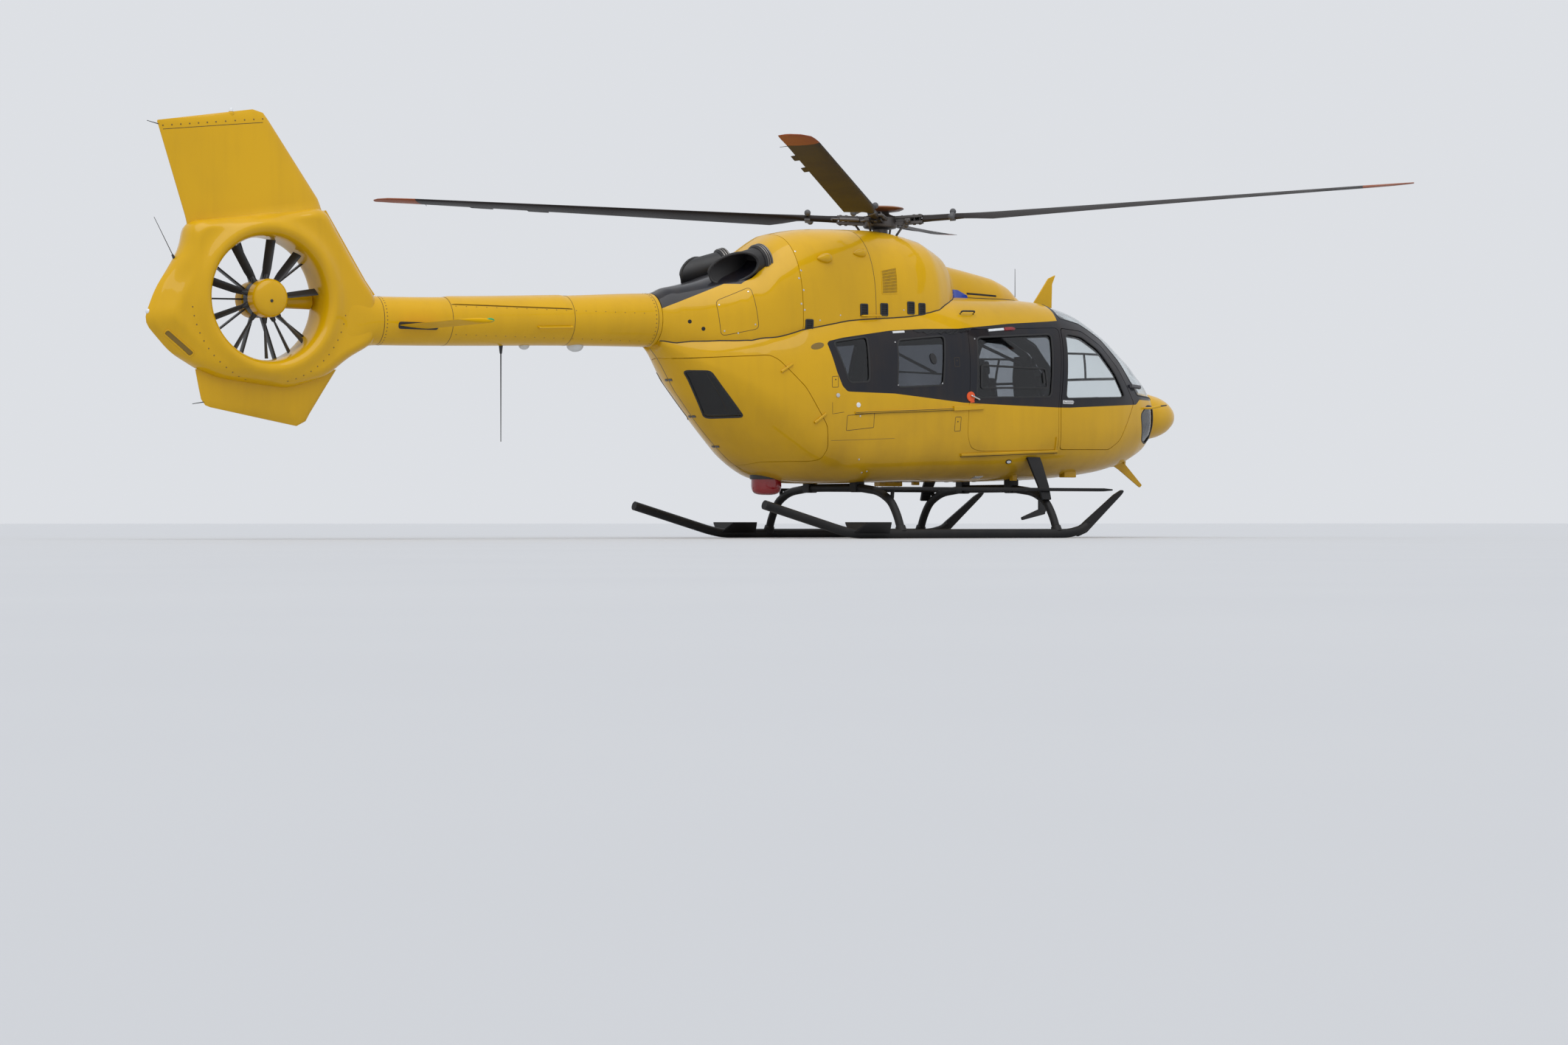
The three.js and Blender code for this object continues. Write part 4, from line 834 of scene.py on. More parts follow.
def deck_colour(tree):
    """Yellow, and charcoal on the deck behind the exhausts: above a slanting line."""
    place = place_of(tree)
    rise = math(tree, "MULTIPLY", math(tree, "ADD", place["X"], 2.75 - MAST), 0.4)
    over = math(tree, "GREATER_THAN", math(tree, "SUBTRACT", place["Z"], rise), 2.33)
    behind = math(tree, "LESS_THAN", place["X"], MAST - 1.97)
    aside = math(tree, "SUBTRACT", math(tree, "ABSOLUTE", place["Y"]), 0.315)
    in_pipe = math(tree, "LESS_THAN", math(tree, "ABSOLUTE", aside), 0.13)
    in_pipe = math(tree, "MULTIPLY", in_pipe, math(tree, "LESS_THAN", place["X"], MAST - 1.78))
    in_pipe = math(tree, "MULTIPLY", in_pipe, math(tree, "GREATER_THAN", place["Z"], 2.55))
    dark = math(tree, "MAXIMUM", math(tree, "MULTIPLY", over, behind), in_pipe)
    return mixed(tree, dark, YELLOW, CHARCOAL)


deck_paint = weathered_and_shaded("deck_paint", deck_colour, GRIME_AND_SHADE, 0.3, (0.22, 0.2, 0.7), **GLOSS)
cowl_forms = []
for name, front, rear, paint, node_name in (
    ("rotor_cowl", cowl_x[0], COWL_SPLIT + 0.003, yellow_paint, "rotor_cowling"),
    ("engine_cowl", COWL_SPLIT - 0.003, COWL[-1, 0] + 0.002, deck_paint, "engine_cowling"),
):
    half = cowl_half(front, rear)
    cowl_forms.append(welded(joined([half, mirrored(half)])))
    piece(name, cowl_forms[-1], paint, "yellow_composite", node_name)

seam_points = skin(COWL, cowl_x, cowl_seam)[8:]
seam = swept(seam_points, circle(0.007, 6), skin_normal(COWL, cowl_x, cowl_seam)[8:])
piece("cowl_seal", [seam, mirrored(seam)], rubber, "black_composite")


# Exhausts: two pipes of thin welded steel behind the engines, cut slantwise so that they blow
# outwards. Each has a rolled lip, and a flange by which it is clamped to its engine.
EXHAUST = {"y": 0.33, "z": 2.81, "radius": 0.14, "wall": 0.012, "front": -1.74, "rear": -2.29}
EXHAUST_LEAN = (0.125, -0.286)  # outwards, and upwards (less than zero), for each metre aft
EXHAUST_MOUTH = {"x": -1.84, "y": 0.495, "turn": np.radians(26)}

soot = weathered_and_shaded(
    "sooty_steel", (0.009, 0.009, 0.01, 1), (0.035, 0.027, 0.022, 1), 0.45, (0.8, 0.4, 0.0),
)


def turned(profile, at, axis=(0, 0, 1), sides=32):
    """A turned form: (radius, height) points about an axis through a point."""
    axis = unit(axis)
    u = unit(np.cross(axis, [1.0, 0, 0] if abs(axis[0]) < 0.9 else [0, 1.0, 0]))
    v = np.cross(axis, u)
    r, h = np.array(profile, float).T
    ring = circle(1.0, sides)
    spokes = ring[:, :1] * u + ring[:, 1:] * v
    rings = np.array(at) + r[:, None, None] * spokes[None] + h[:, None, None] * axis
    return lofted(rings)


def exhaust_pipe():
    """Rings along the pipe from its front to its mouth. Each line of the pipe ends where it meets
    the mouth's upright plane or the pipe's square rear end, whichever comes first."""
    start = np.array([EXHAUST["front"], EXHAUST["y"], EXHAUST["z"]])
    axis = unit([-1.0, *EXHAUST_LEAN])
    u = unit(np.cross(axis, [0, 0, 1.0]))
    v = np.cross(u, axis)
    turn = EXHAUST_MOUTH["turn"]
    normal = np.array([-np.sin(turn), np.cos(turn), 0])
    corner = np.array([EXHAUST_MOUTH["x"], EXHAUST_MOUTH["y"], 0])
    full = (EXHAUST["front"] - EXHAUST["rear"]) / -axis[0]
    rings = []
    outer, inner = EXHAUST["radius"], EXHAUST["radius"] - EXHAUST["wall"]
    stations = [(outer, s) for s in np.linspace(0, 1, 8)]
    stations += [(inner, s) for s in np.linspace(1, 0.02, 7)]
    ring = circle(1.0, 40)
    for radius, share in stations:
        spokes = radius * (ring[:, :1] * u + ring[:, 1:] * v)
        ends = (corner - start - spokes) @ normal / (axis @ normal)
        length = np.minimum(ends, full)
        rings.append(start + spokes + (share * length)[:, None] * axis)
    form = lofted(rings)
    mouth = rings[7]
    lip = swept(mouth, circle(0.014, 8), axis, closed=True)
    base = turned([(0.146, -0.02), (0.158, 0.0), (0.158, 0.045), (0.146, 0.06)], start, axis, 40)
    return mirrored(joined([form, lip, base]))


pairs(("exhaust_pipe", exhaust_pipe(), soot, "exhaust_metal", "exhaust_{}", "airframe"))


# Tail boom: a tapered composite tube, laid up in one piece, bolted to the cabin by a round front
# frame and bonded to the tail shroud.
# Columns: x, height of its axis, half width, half height
BOOM = np.array([
    [-2.862, 2.18, 0.262, 0.268], [-3.9, 2.142, 0.24, 0.246], [-5.05, 2.098, 0.232, 0.236],
    [-5.95, 2.075, 0.19, 0.232],
])
BOOM_SIDES = 56


def boom_at(x, angle, out=0.0):
    """Points of the boom: an ellipse about its axis, angle 0 to port and 90 degrees upwards."""
    _, z, half, high = np.moveaxis(rows_at(BOOM, x), -1, 0)
    y = (half + out) * np.cos(angle)
    return columns(x, y, z + (high + out) * np.sin(angle))


boom_x = np.linspace(BOOM[0, 0], BOOM[-1, 0], 60)
boom_tube = lofted(boom_at(boom_x[:, None], turns_of(BOOM_SIDES)[None]))
piece("tail_boom_tube", boom_tube, yellow_paint, "yellow_composite", "tail_boom")

# Stabilizer: two flat wings of composite skin over a foam core, with rounded tips. They are bolted
# into the boom through dark sealed roots.
STABILIZER = {"lead": -5.38, "trail": -5.77, "z": 2.03, "half": 0.024, "root": 0.2, "tip": 1.33}


def aerofoil(count=14):
    """An aerofoil as (share of the chord, share of the half thickness) points, from the trailing
    edge over the top to the nose and back below. The thickness is the usual four-digit curve."""
    s = (1 - np.cos(np.linspace(0, np.pi, count))) / 2
    t = 2.969 * np.sqrt(s) - 1.26 * s - 3.516 * s**2 + 2.843 * s**3 - 1.015 * s**4
    t = t + 0.06 * s
    top = columns(s, t)
    return np.concatenate([top[::-1], top[1:] * (1, -1)])


wing_stations = [(STABILIZER["root"] - 0.03, 0, 1), (STABILIZER["tip"] - 0.04, 0, 1)]
wing_stations += [(STABILIZER["tip"] - 0.012, 0.008, 0.8), (STABILIZER["tip"], 0.025, 0.35)]
section = aerofoil()
wing_rings = []
for y, back, share in wing_stations:
    lead, trail = STABILIZER["lead"] - back, STABILIZER["trail"] + back * 0.4
    x = lead + section[:, 0] * (trail - lead)
    z = STABILIZER["z"] + section[:, 1] * STABILIZER["half"] * share
    wing_rings.append(columns(x, -y, z))
wing = lofted(wing_rings)
dull_paint = weathered_and_shaded(
    "stabilizer_paint", YELLOW, GRIME_AND_SHADE, 0.6, (0.3, 0.2, 0.9), Specular_IOR_Level=0.08,
)
pairs(("stabilizer_wing", wing, dull_paint, "yellow_composite", "stabilizer_{}", "airframe"))


# Tail shroud: a thick composite ring round the fan, drawn out to a plate with rounded edges, with
# the swept fin moulded on above it.
FAN = {"x": -7.12, "z": 2.24, "duct": 0.575}
SHROUD = [
    (-5.952, 1.86), (-6.25, 1.7), (-6.48, 1.52), (-6.88, 1.4), (-7.56, 1.485), (-7.78, 1.57),
    (-8.045, 1.715), (-8.3075, 1.995), (-8.19, 2.3), (-7.935, 2.69), (-7.89, 2.93), (-6.515, 3.13),
    (-6.075, 2.44), (-5.952, 2.28),
]
PLATE_HALF = 0.178
LIP_HALF = 0.235
LIP_AT = 0.66
# Rows of a fin: leading edge x and z, trailing edge x and z, half thickness
FIN = [
    (-6.49, 3.04, -7.86, 2.84, 0.15), (-6.5, 3.09, -7.868, 2.88, 0.115),
    (-6.515, 3.14, -7.878, 2.93, 0.088), (-6.54, 3.2, -7.892, 2.98, 0.072),
    (-7.05, 3.905, -8.158, 3.795, 0.042), (-7.105, 3.972, -8.17, 3.826, 0.03),
    (-7.21, 3.998, -8.165, 3.838, 0.012),
]
KEEL = [
    (-6.345, 1.6, -7.79, 1.57, 0.062), (-6.48, 1.4, -7.755, 1.4, 0.052),
    (-6.625, 1.18, -7.731, 1.294, 0.042), (-6.665, 1.11, -7.69, 1.24, 0.03),
    (-6.76, 1.062, -7.64, 1.222, 0.012),
]


def reach_of(outline, angles):
    """How far the outline lies from the fan's axis in each direction: the nearest crossing of a
    ray with the outline's sides."""
    a = outline - (FAN["x"], FAN["z"])
    b = np.roll(a, -1, 0)
    way = columns(np.cos(angles), np.sin(angles))[:, None]
    side = b - a
    bottom = way[..., 0] * side[:, 1] - way[..., 1] * side[:, 0]
    far = (a[:, 0] * side[:, 1] - a[:, 1] * side[:, 0]) / bottom
    share = (a[:, 0] * way[..., 1] - a[:, 1] * way[..., 0]) / bottom
    far = np.where((share >= 0) & (share <= 1) & (far > 0), far, np.inf)
    return far.min(1)


SHROUD_SPOKES = 144
# Behind, the plate closes in a straight taper with a crease where it begins
BOAT_TAIL = {"middle": np.radians(190), "spread": np.radians(30), "more": 0.1}
turn = turns_of(SHROUD_SPOKES)
edge_reach = reach_of(rounded(SHROUD, 0.1), turn)
# The half section: share of the way from the lip to the edge, and half thickness
lip_points = np.array([
    (FAN["duct"], 0.0), (FAN["duct"], 0.1), (0.58, 0.15), (0.595, 0.19), (0.62, 0.222),
    (0.645, 0.233), (LIP_AT, LIP_HALF),
])
shroud_rings = []
edge_shares = 1 - 0.4 * np.cos(np.linspace(0.15, np.pi / 2, 9))
shares = np.concatenate([np.linspace(0.04, 0.6, 9), edge_shares])
for angle, reach in zip(turn, edge_reach):
    out = shares * (reach - LIP_AT)
    edge = min(0.13, (reach - LIP_AT) * 0.8)
    plate = PLATE_HALF + (LIP_HALF - PLATE_HALF) * np.exp(-((out / 0.09) ** 2))
    rear = np.exp(-(((angle - BOAT_TAIL["middle"]) / BOAT_TAIL["spread"]) ** 4))
    edge += rear * BOAT_TAIL["more"]
    closing = np.clip((out - (reach - LIP_AT - edge)) / edge, 0, 1)
    end = np.sqrt(1 - np.clip((closing - 0.93) / 0.07, 0, 1) ** 2)
    half = plate * ((1 - rear) * np.sqrt(1 - closing**2) + rear * (1 - 0.75 * closing) * end)
    near = np.concatenate([lip_points, columns(LIP_AT + out, half)])
    loop = np.concatenate([near, near[1:-1][::-1] * (1, -1)])
    x = FAN["x"] + loop[:, 0] * np.cos(angle)
    z = FAN["z"] + loop[:, 0] * np.sin(angle)
    shroud_rings.append(columns(x, loop[:, 1], z))
ring_form = lofted(shroud_rings, closed=True)


def fin_form(rows):
    """A fin lofted over aerofoil sections between its leading and trailing edges."""
    section = aerofoil(16)
    rings = []
    for lead_x, lead_z, trail_x, trail_z, half in rows:
        x = lead_x + section[:, 0] * (trail_x - lead_x)
        z = lead_z + section[:, 0] * (trail_z - lead_z)
        rings.append(columns(x, section[:, 1] * half, z))
    return lofted(rings)


# Root that grows out of the boom's end. Columns: x, axis, half width, half height, squareness
ROOT = [
    (-5.936, 2.076, 0.193, 0.234, 2.0), (-6.0, 2.074, 0.192, 0.237, 2.1),
    (-6.1, 2.07, 0.19, 0.262, 2.4), (-6.2, 2.064, 0.186, 0.31, 2.8),
    (-6.32, 2.055, 0.18, 0.37, 3.2), (-6.44, 2.05, 0.16, 0.42, 3.4),
]
turns = turns_of(BOOM_SIDES)
c, s = np.cos(turns), np.sin(turns)
root_rings = []
for x, axis, half, high, power in ROOT:
    y = half * np.sign(c) * np.abs(c) ** (2 / power)
    z = axis + high * np.sign(s) * np.abs(s) ** (2 / power)
    root_rings.append(columns(x, y, z))
fin, keel_fin = fin_form(FIN), fin_form(KEEL)
shroud_forms = [ring_form, fin, lofted(root_rings)]
piece("tail_shroud_skin", shroud_forms, yellow_paint, "yellow_composite", "tail_shroud")
piece("keel_fin_skin", keel_fin, yellow_paint, "yellow_composite", "keel_fin")


# Tail fan: ten black moulded composite blades at uneven angles, for a softer sound. Metal cuffs
# hold them to a hub disc under a painted dome of spun sheet.
FAN_ANGLES = (-8, 44, 62, 87, 122, 160, 196, 240, 279, 310)
FAN_HUB, FAN_BLADE = 0.18, 0.557  # radii of the hub and of the blades' tips
FAN_PLANE = -0.04  # where the blades stand along the axis
black_composite = weathered_and_shaded(
    "black_composite", (0.014, 0.015, 0.018, 1), (0.06, 0.055, 0.05, 1), 0.42, (0.4, 0.2, 0.2),
)


def rod(a, b, radius, end_radius=None, sides=12):
    """A round bar or cone between two points, its ends slightly rounded."""
    a, b = np.array(a, float), np.array(b, float)
    length = np.linalg.norm(b - a)
    end = radius if end_radius is None else end_radius
    c = min(radius, end, length / 2) * 0.3
    profile = [(radius - c, 0), (radius, c), (end, length - c), (end - c, length)]
    return turned(profile, a, b - a, sides)


def fan_blade(angle, inner, outer, chord, half, pitches, y, roots=1.0):
    """A twisted blade in the duct: aerofoil sections from the hub outwards, each turned by its
    pitch about the blade's own length."""
    section = aerofoil(8)
    a = np.radians(angle)
    rings = []
    for share in np.linspace(0, 1, 7):
        radius = inner + share * (outer - inner)
        pitch = np.radians(pitches[0] + share * (pitches[1] - pitches[0]))
        wide = chord * (roots + (1 - roots) * min(1.0, share * 4))
        across = (section[:, 0] - 0.4) * wide
        thick = section[:, 1] * half
        side = across * np.cos(pitch) - thick * np.sin(pitch)
        depth = across * np.sin(pitch) + thick * np.cos(pitch)
        x = FAN["x"] + radius * np.cos(a) - side * np.sin(a)
        z = FAN["z"] + radius * np.sin(a) + side * np.cos(a)
        rings.append(columns(x, y + depth, z))
    return lofted(rings)


fan_axis = (FAN["x"], 0, FAN["z"])
hub_cap = turned([
    (0.004, -0.2375), (0.06, -0.235), (0.12, -0.225), (0.155, -0.212), (0.174, -0.192),
    (0.18, -0.168), (0.18, -0.075),
], fan_axis, (0, 1, 0), 48)
hub_disc = turned([
    (0.17, -0.074), (0.178, -0.07), (0.178, 0.02), (0.165, 0.028),
], fan_axis, (0, 1, 0), 48)
blades = [
    fan_blade(-angle, FAN_HUB - 0.02, FAN_BLADE, 0.095, 0.008, (58, 46), FAN_PLANE, 0.55)
    for angle in FAN_ANGLES
]
cuffs = []
for a in np.radians(FAN_ANGLES) * -1:
    ends = [(FAN["x"] + r * np.cos(a), FAN_PLANE, FAN["z"] + r * np.sin(a)) for r in (0.165, 0.235)]
    cuffs.append(rod(*ends, 0.03, 0.02))
piece("tail_fan_cap", hub_cap, yellow_paint, "yellow_paint", body="fan_rotor")
piece(
    "tail_fan_blades", [hub_disc, *blades, *cuffs], black_composite, "black_composite", "tail_fan",
    body="fan_rotor",
)

# Fan stator: nine black composite vanes and the drive shaft's yellow fairing, bolted into the
# duct, carry the cast gearbox at its middle.
STATOR = {"radius": 0.172, "places": 10, "first": -1}
gearbox = turned([
    (0.13, 0.075), (0.165, 0.082), (STATOR["radius"], 0.1), (STATOR["radius"], 0.205),
    (0.155, 0.225), (0.11, 0.245), (0.09, 0.262), (0.02, 0.265),
], fan_axis, (0, 1, 0), 48)
vanes = []
for place in range(1, STATOR["places"]):
    angle = -(STATOR["first"] + place * 360 / STATOR["places"])
    ends = (STATOR["radius"] - 0.02, FAN["duct"] + 0.004)
    vanes.append(fan_blade(angle, *ends, 0.09, 0.008, (90, 90), 0.105))
shaft_fairing = rod(
    (FAN["x"] + 0.1, 0.15, FAN["z"]), (FAN["x"] + 0.579, 0.13, FAN["z"]), 0.07, 0.074, 32,
)
piece("fan_gearbox", [gearbox, shaft_fairing], yellow_paint, "yellow_paint")
piece("stator_vanes", vanes, black_composite, "black_composite", "fan_stator")


# Main rotor hub: a steel mast with a swash plate, a titanium head with four arms and a shallow
# composite dish as its cap.
HUB_HEIGHT = 3.3
CONING = np.radians(3.4)
FIRST_BLADE = -43.25
DISH = {"radius": 0.25, "z": 3.438}
SWASH = {"radius": 0.195, "z": 3.12}
BLADE_TURNS = np.radians(FIRST_BLADE + np.arange(4) * 90)
steel = weathered_and_shaded(
    "dark_steel", (0.12, 0.11, 0.105, 1), (0.035, 0.028, 0.024, 1), 0.4, (0.9, 0.4, 0.0),
    metallic=0.8,
)
dish_paint = weathered_and_shaded(
    "dish_composite", (0.2, 0.065, 0.015, 1), (0.05, 0.025, 0.015, 1), 0.35, (0.9, 0.3, 0.0),
)


def blade_form(form, turn):
    """A form laid along +X at the hub, raised by the coning angle and turned to a blade's place."""
    x, y, z = form[0].T
    x, z = x * np.cos(CONING) - z * np.sin(CONING), x * np.sin(CONING) + z * np.cos(CONING)
    x, y = x * np.cos(turn) - y * np.sin(turn), x * np.sin(turn) + y * np.cos(turn)
    return columns(x, y, z + HUB_HEIGHT), form[1]


UNCUT = 10.0  # a step longer than any side, so that no points are added between corners


def box_form(low, high, round_off=0.006):
    """A block with its long edges rounded: a rounded rectangle carried from low x to high x."""
    low, high = np.array(low, float), np.array(high, float)
    corners = [(low[1], low[2]), (high[1], low[2]), (high[1], high[2]), (low[1], high[2])]
    outline = rounded(corners, round_off, UNCUT)
    xs = [low[0], low[0] + round_off * 0.6, high[0] - round_off * 0.6, high[0]]
    middle = outline.mean(0)
    rings = []
    for x, share in zip(xs, (0.97, 1, 1, 0.97)):
        rings.append(columns(x, *(middle + (outline - middle) * share).T))
    return lofted(rings)


mast = turned([
    (0.06, 3.0), (0.072, 3.004), (0.075, SWASH["z"] - 0.03), (0.09, SWASH["z"] - 0.02),
    (SWASH["radius"] - 0.005, SWASH["z"] - 0.015), (SWASH["radius"], SWASH["z"] - 0.008),
    (SWASH["radius"], SWASH["z"] + 0.018), (SWASH["radius"] - 0.01, SWASH["z"] + 0.025),
    (0.1, SWASH["z"] + 0.03), (0.082, SWASH["z"] + 0.045), (0.08, HUB_HEIGHT - 0.08),
    (0.12, HUB_HEIGHT - 0.075), (0.165, HUB_HEIGHT - 0.066), (0.178, HUB_HEIGHT - 0.05),
    (0.18, HUB_HEIGHT + 0.04), (0.165, HUB_HEIGHT + 0.056), (0.12, HUB_HEIGHT + 0.072),
    (0.1, HUB_HEIGHT + 0.08), (0.09, DISH["z"] - 0.03),
], (0, 0, 0), sides=48)
hub_parts = [mast]
# Two fork plates, the arm between them, the blade's two root bolts and its pitch horn
arm_parts = [box_form((0.1, -0.062, z), (0.45, 0.062, z + 0.014), 0.02) for z in (-0.038, 0.026)]
arm_parts.append(box_form((0.12, -0.045, -0.028), (0.33, 0.045, 0.03), 0.015))
arm_parts += [rod((x, 0, -0.056), (x, 0, 0.056), 0.017, sides=10) for x in (0.36, 0.42)]
arm_parts.append(box_form((0.272, -0.128, -0.028), (0.328, 0.0, 0.008), 0.012))
for turn in BLADE_TURNS:
    hub_parts += [blade_form(form, turn) for form in arm_parts]
    # The pitch link from the swash plate to the horn, with a ball joint at each end
    a, b = turn - np.radians(24), turn - np.radians(16)
    low = (0.172 * np.cos(a), 0.172 * np.sin(a), SWASH["z"])
    high = (0.29 * np.cos(b), 0.29 * np.sin(b), HUB_HEIGHT - 0.01)
    hub_parts.append(rod(low, high, 0.012))
    joint = [(0.008, -0.022), (0.02, -0.012), (0.02, 0.012), (0.008, 0.022)]
    hub_parts += [turned(joint, at, sides=12) for at in (low, high)]
piece("rotor_head", hub_parts, steel, "engine_metal", "rotor_hub", body="main_rotor")
dish = turned([
    (0.09, -0.036), (0.15, -0.03), (0.21, -0.022), (0.243, -0.008), (DISH["radius"], 0.0),
    (0.24, 0.009), (0.19, 0.018), (0.1, 0.024), (0.01, 0.027),
], (0, 0, DISH["z"]), sides=64)
piece("rotor_head_dish", dish, dish_paint, "blade_composite", body="main_rotor")


# Main rotor blades: glass-fibre composite, brown-black with orange tips. Each has a slim flexible
# root, a cuff with two pendulum weights, and a straight aerofoil with a swept tip.
# Columns: distance from the mast, leading and trailing edge, half thickness, pitch in degrees
BLADE = np.array([
    [0.4504, 0.045, -0.045, 0.038, 18], [0.55, 0.042, -0.042, 0.034, 18],
    [0.8, 0.042, -0.042, 0.032, 18], [0.89, 0.06, -0.075, 0.026, 18],
    [1.05, 0.068, -0.16, 0.023, 17.5], [1.2, 0.07, -0.23, 0.022, 17],
    [2.0, 0.07, -0.23, 0.02, 14.3], [3.0, 0.07, -0.23, 0.018, 11], [4.0, 0.07, -0.23, 0.0165, 8],
    [5.0, 0.07, -0.23, 0.015, 5], [5.15, 0.062, -0.232, 0.0135, 4.7],
    [5.3, 0.045, -0.235, 0.012, 4.5], [5.43, -0.02, -0.235, 0.009, 4],
    [5.49, -0.1, -0.232, 0.007, 4], [5.5, -0.125, -0.231, 0.006, 4],
])
BALL = {"at": 0.765, "middle": -0.057, "out": 0.118, "lift": 0.042, "radius": 0.034}
TIP_PAINT = 4.98
BLADE_BROWN = (0.014, 0.0105, 0.01, 1)
TIP_ORANGE = (0.27, 0.06, 0.012, 1)


def blade_colour(tree):
    """Brown-black, and orange beyond the tip's paint line, by the distance from the mast."""
    place = place_of(tree)
    x = math(tree, "SUBTRACT", place["X"], MAST)
    reach = math(tree, "SQRT", math(
        tree, "ADD", math(tree, "POWER", x, 2.0), math(tree, "POWER", place["Y"], 2.0),
    ))
    worn = math(tree, "MULTIPLY", noise(tree, placed(tree), 14.0), 0.03)
    beyond = math(tree, "GREATER_THAN", math(tree, "ADD", reach, worn), TIP_PAINT + 0.015)
    return mixed(tree, beyond, BLADE_BROWN, TIP_ORANGE)


blade_paint = weathered_and_shaded(
    "blade_paint", blade_colour, (0.05, 0.04, 0.034, 1), 0.5, (0.5, 0.0, 0.0),
    Specular_IOR_Level=0.2,
)
lead_grey = weathered_and_shaded(
    "weight_grey", (0.085, 0.085, 0.09, 1), (0.03, 0.03, 0.03, 1), 0.5, (0.8, 0.0, 0.0),
)


def pitched(points, degrees):
    """Turned about +X by a blade's pitch."""
    a = np.radians(degrees)
    x, y, z = np.moveaxis(np.asarray(points, float), -1, 0)
    return columns(x, y * np.cos(a) - z * np.sin(a), y * np.sin(a) + z * np.cos(a))


section = aerofoil(12)
rings = []
for r in np.unique(np.concatenate([BLADE[:, 0], np.linspace(1.2, 5.0, 20)])):
    lead, trail, half, pitch = (np.interp(r, BLADE[:, 0], BLADE[:, c]) for c in (1, 2, 3, 4))
    y = lead + section[:, 0] * (trail - lead)
    rings.append(pitched(columns(r, y, section[:, 1] * half), pitch))
blade = lofted(rings)
ball_turns = np.linspace(-1.5, 1.5, 9)
ball_profile = BALL["radius"] * columns(np.cos(ball_turns), np.sin(ball_turns))
weights = []
for way in (1, -1):
    at = np.array([BALL["at"], BALL["middle"] + way * BALL["out"], BALL["lift"]])
    weights.append(turned(ball_profile, at, sides=20))
    weights.append(rod(at - (0, way * 0.05, 0.012), at, 0.013))
weights.append(box_form(
    (BALL["at"] - 0.018, BALL["middle"] - BALL["out"] + 0.03, 0.026),
    (BALL["at"] + 0.018, BALL["middle"] + BALL["out"] - 0.03, 0.05),
))
weights.append(box_form(
    (BALL["at"] - 0.03, -0.04, -0.036), (BALL["at"] + 0.03, 0.04, 0.036), 0.012,
))
points, faces = joined(weights)
weights = (pitched(points, BLADE[0, 4]), faces)
for number, turn in enumerate(BLADE_TURNS, 1):
    piece(
        f"rotor_blade_skin_{number}", blade_form(blade, turn), blade_paint, "blade_composite",
        f"rotor_blade_{number}", "main_rotor",
    )
    piece(
        f"pendulum_weights_{number}", blade_form(weights, turn), lead_grey, "blade_composite",
        body="main_rotor",
    )


# Landing gear: two bowed cross tubes of painted steel clamped under the belly, and two skids with
# flat bear paws behind and step boards above.
CROSS_TUBES = (("cross_tube_front", 1.41), ("cross_tube_rear", -0.6))
CROSS_RADIUS = 0.042
SKID = {"y": 1.2, "radius": 0.047, "z": 0.0434}
CROSS_ROUTE = [
    (0, 0.52), (0.42, 0.52), (0.8, 0.48), (1.01, 0.38), (1.12, 0.23), (SKID["y"], SKID["z"]),
]
SKID_ROUTE = [
    (-2.28, 0.33), (-1.35, 0.075), (-1.18, SKID["z"]), (1.56, SKID["z"]), (1.72, 0.08),
    (1.79, 0.122),
]
SKID_FIN = [
    (1.67, 0.012), (1.79, 0.055), (2.265, 0.452), (2.3, 0.492), (2.27, 0.505), (2.17, 0.455),
    (1.76, 0.165), (1.66, 0.082),
]
gear_paint = weathered_and_shaded(
    "gear_paint", (0.006, 0.0065, 0.008, 1), (0.05, 0.045, 0.04, 1), 0.4, (0.4, 0.2, 0.3), 0.001,
    Specular_IOR_Level=0.2,
)


def plate(points, near, far, radius=0.01):
    """A flat plate: an outline of the side view carried from y = near to y = far."""
    outline = rounded(points, radius, 0.2)
    middle = outline.mean(0)
    reach = outline - middle
    bevel = min(0.003, abs(far - near) / 4)
    rings = []
    for y, shrink in ((near, bevel), (near + bevel, 0), (far - bevel, 0), (far, bevel)):
        out = middle + reach * (1 - shrink / np.linalg.norm(reach, axis=1)[:, None])
        rings.append(columns(out[:, 0], y, out[:, 1]))
    return lofted(rings)


def eased(points, radius):
    """An open route whose corners are quadratic curves."""
    p = np.array(points, float)
    line = [p[:1]]
    for before, corner, after in zip(p, p[1:], p[2:]):
        back, on = before - corner, after - corner
        reach = min(radius, np.linalg.norm(back) * 0.45, np.linalg.norm(on) * 0.45)
        a, b = corner + unit(back) * reach, corner + unit(on) * reach
        t = np.linspace(0, 1, 9)[:, None]
        line.append((1 - t) ** 2 * a + 2 * t * (1 - t) * corner + t**2 * b)
    line.append(p[-1:])
    return np.concatenate(line)


half_route = eased(CROSS_ROUTE, 0.12)
cross_yz = np.concatenate([half_route[:0:-1] * (-1, 1), half_route])
for name, x in CROSS_TUBES:
    path = columns(x, *cross_yz.T)
    parts = [swept(path, circle(CROSS_RADIUS, 20), (1, 0, 0))]
    for way in (1, -1):
        parts.append(box_form(
            (x - 0.055, way * 0.42 - 0.055, 0.47), (x + 0.055, way * 0.42 + 0.055, 0.62), 0.02,
        ))
        parts.append(rod((x, way * 1.163, 0.13), (x, way * 1.196, 0.05), 0.052, 0.058, 20))
    piece(f"{name}_bow", parts, gear_paint, "black_paint", name)

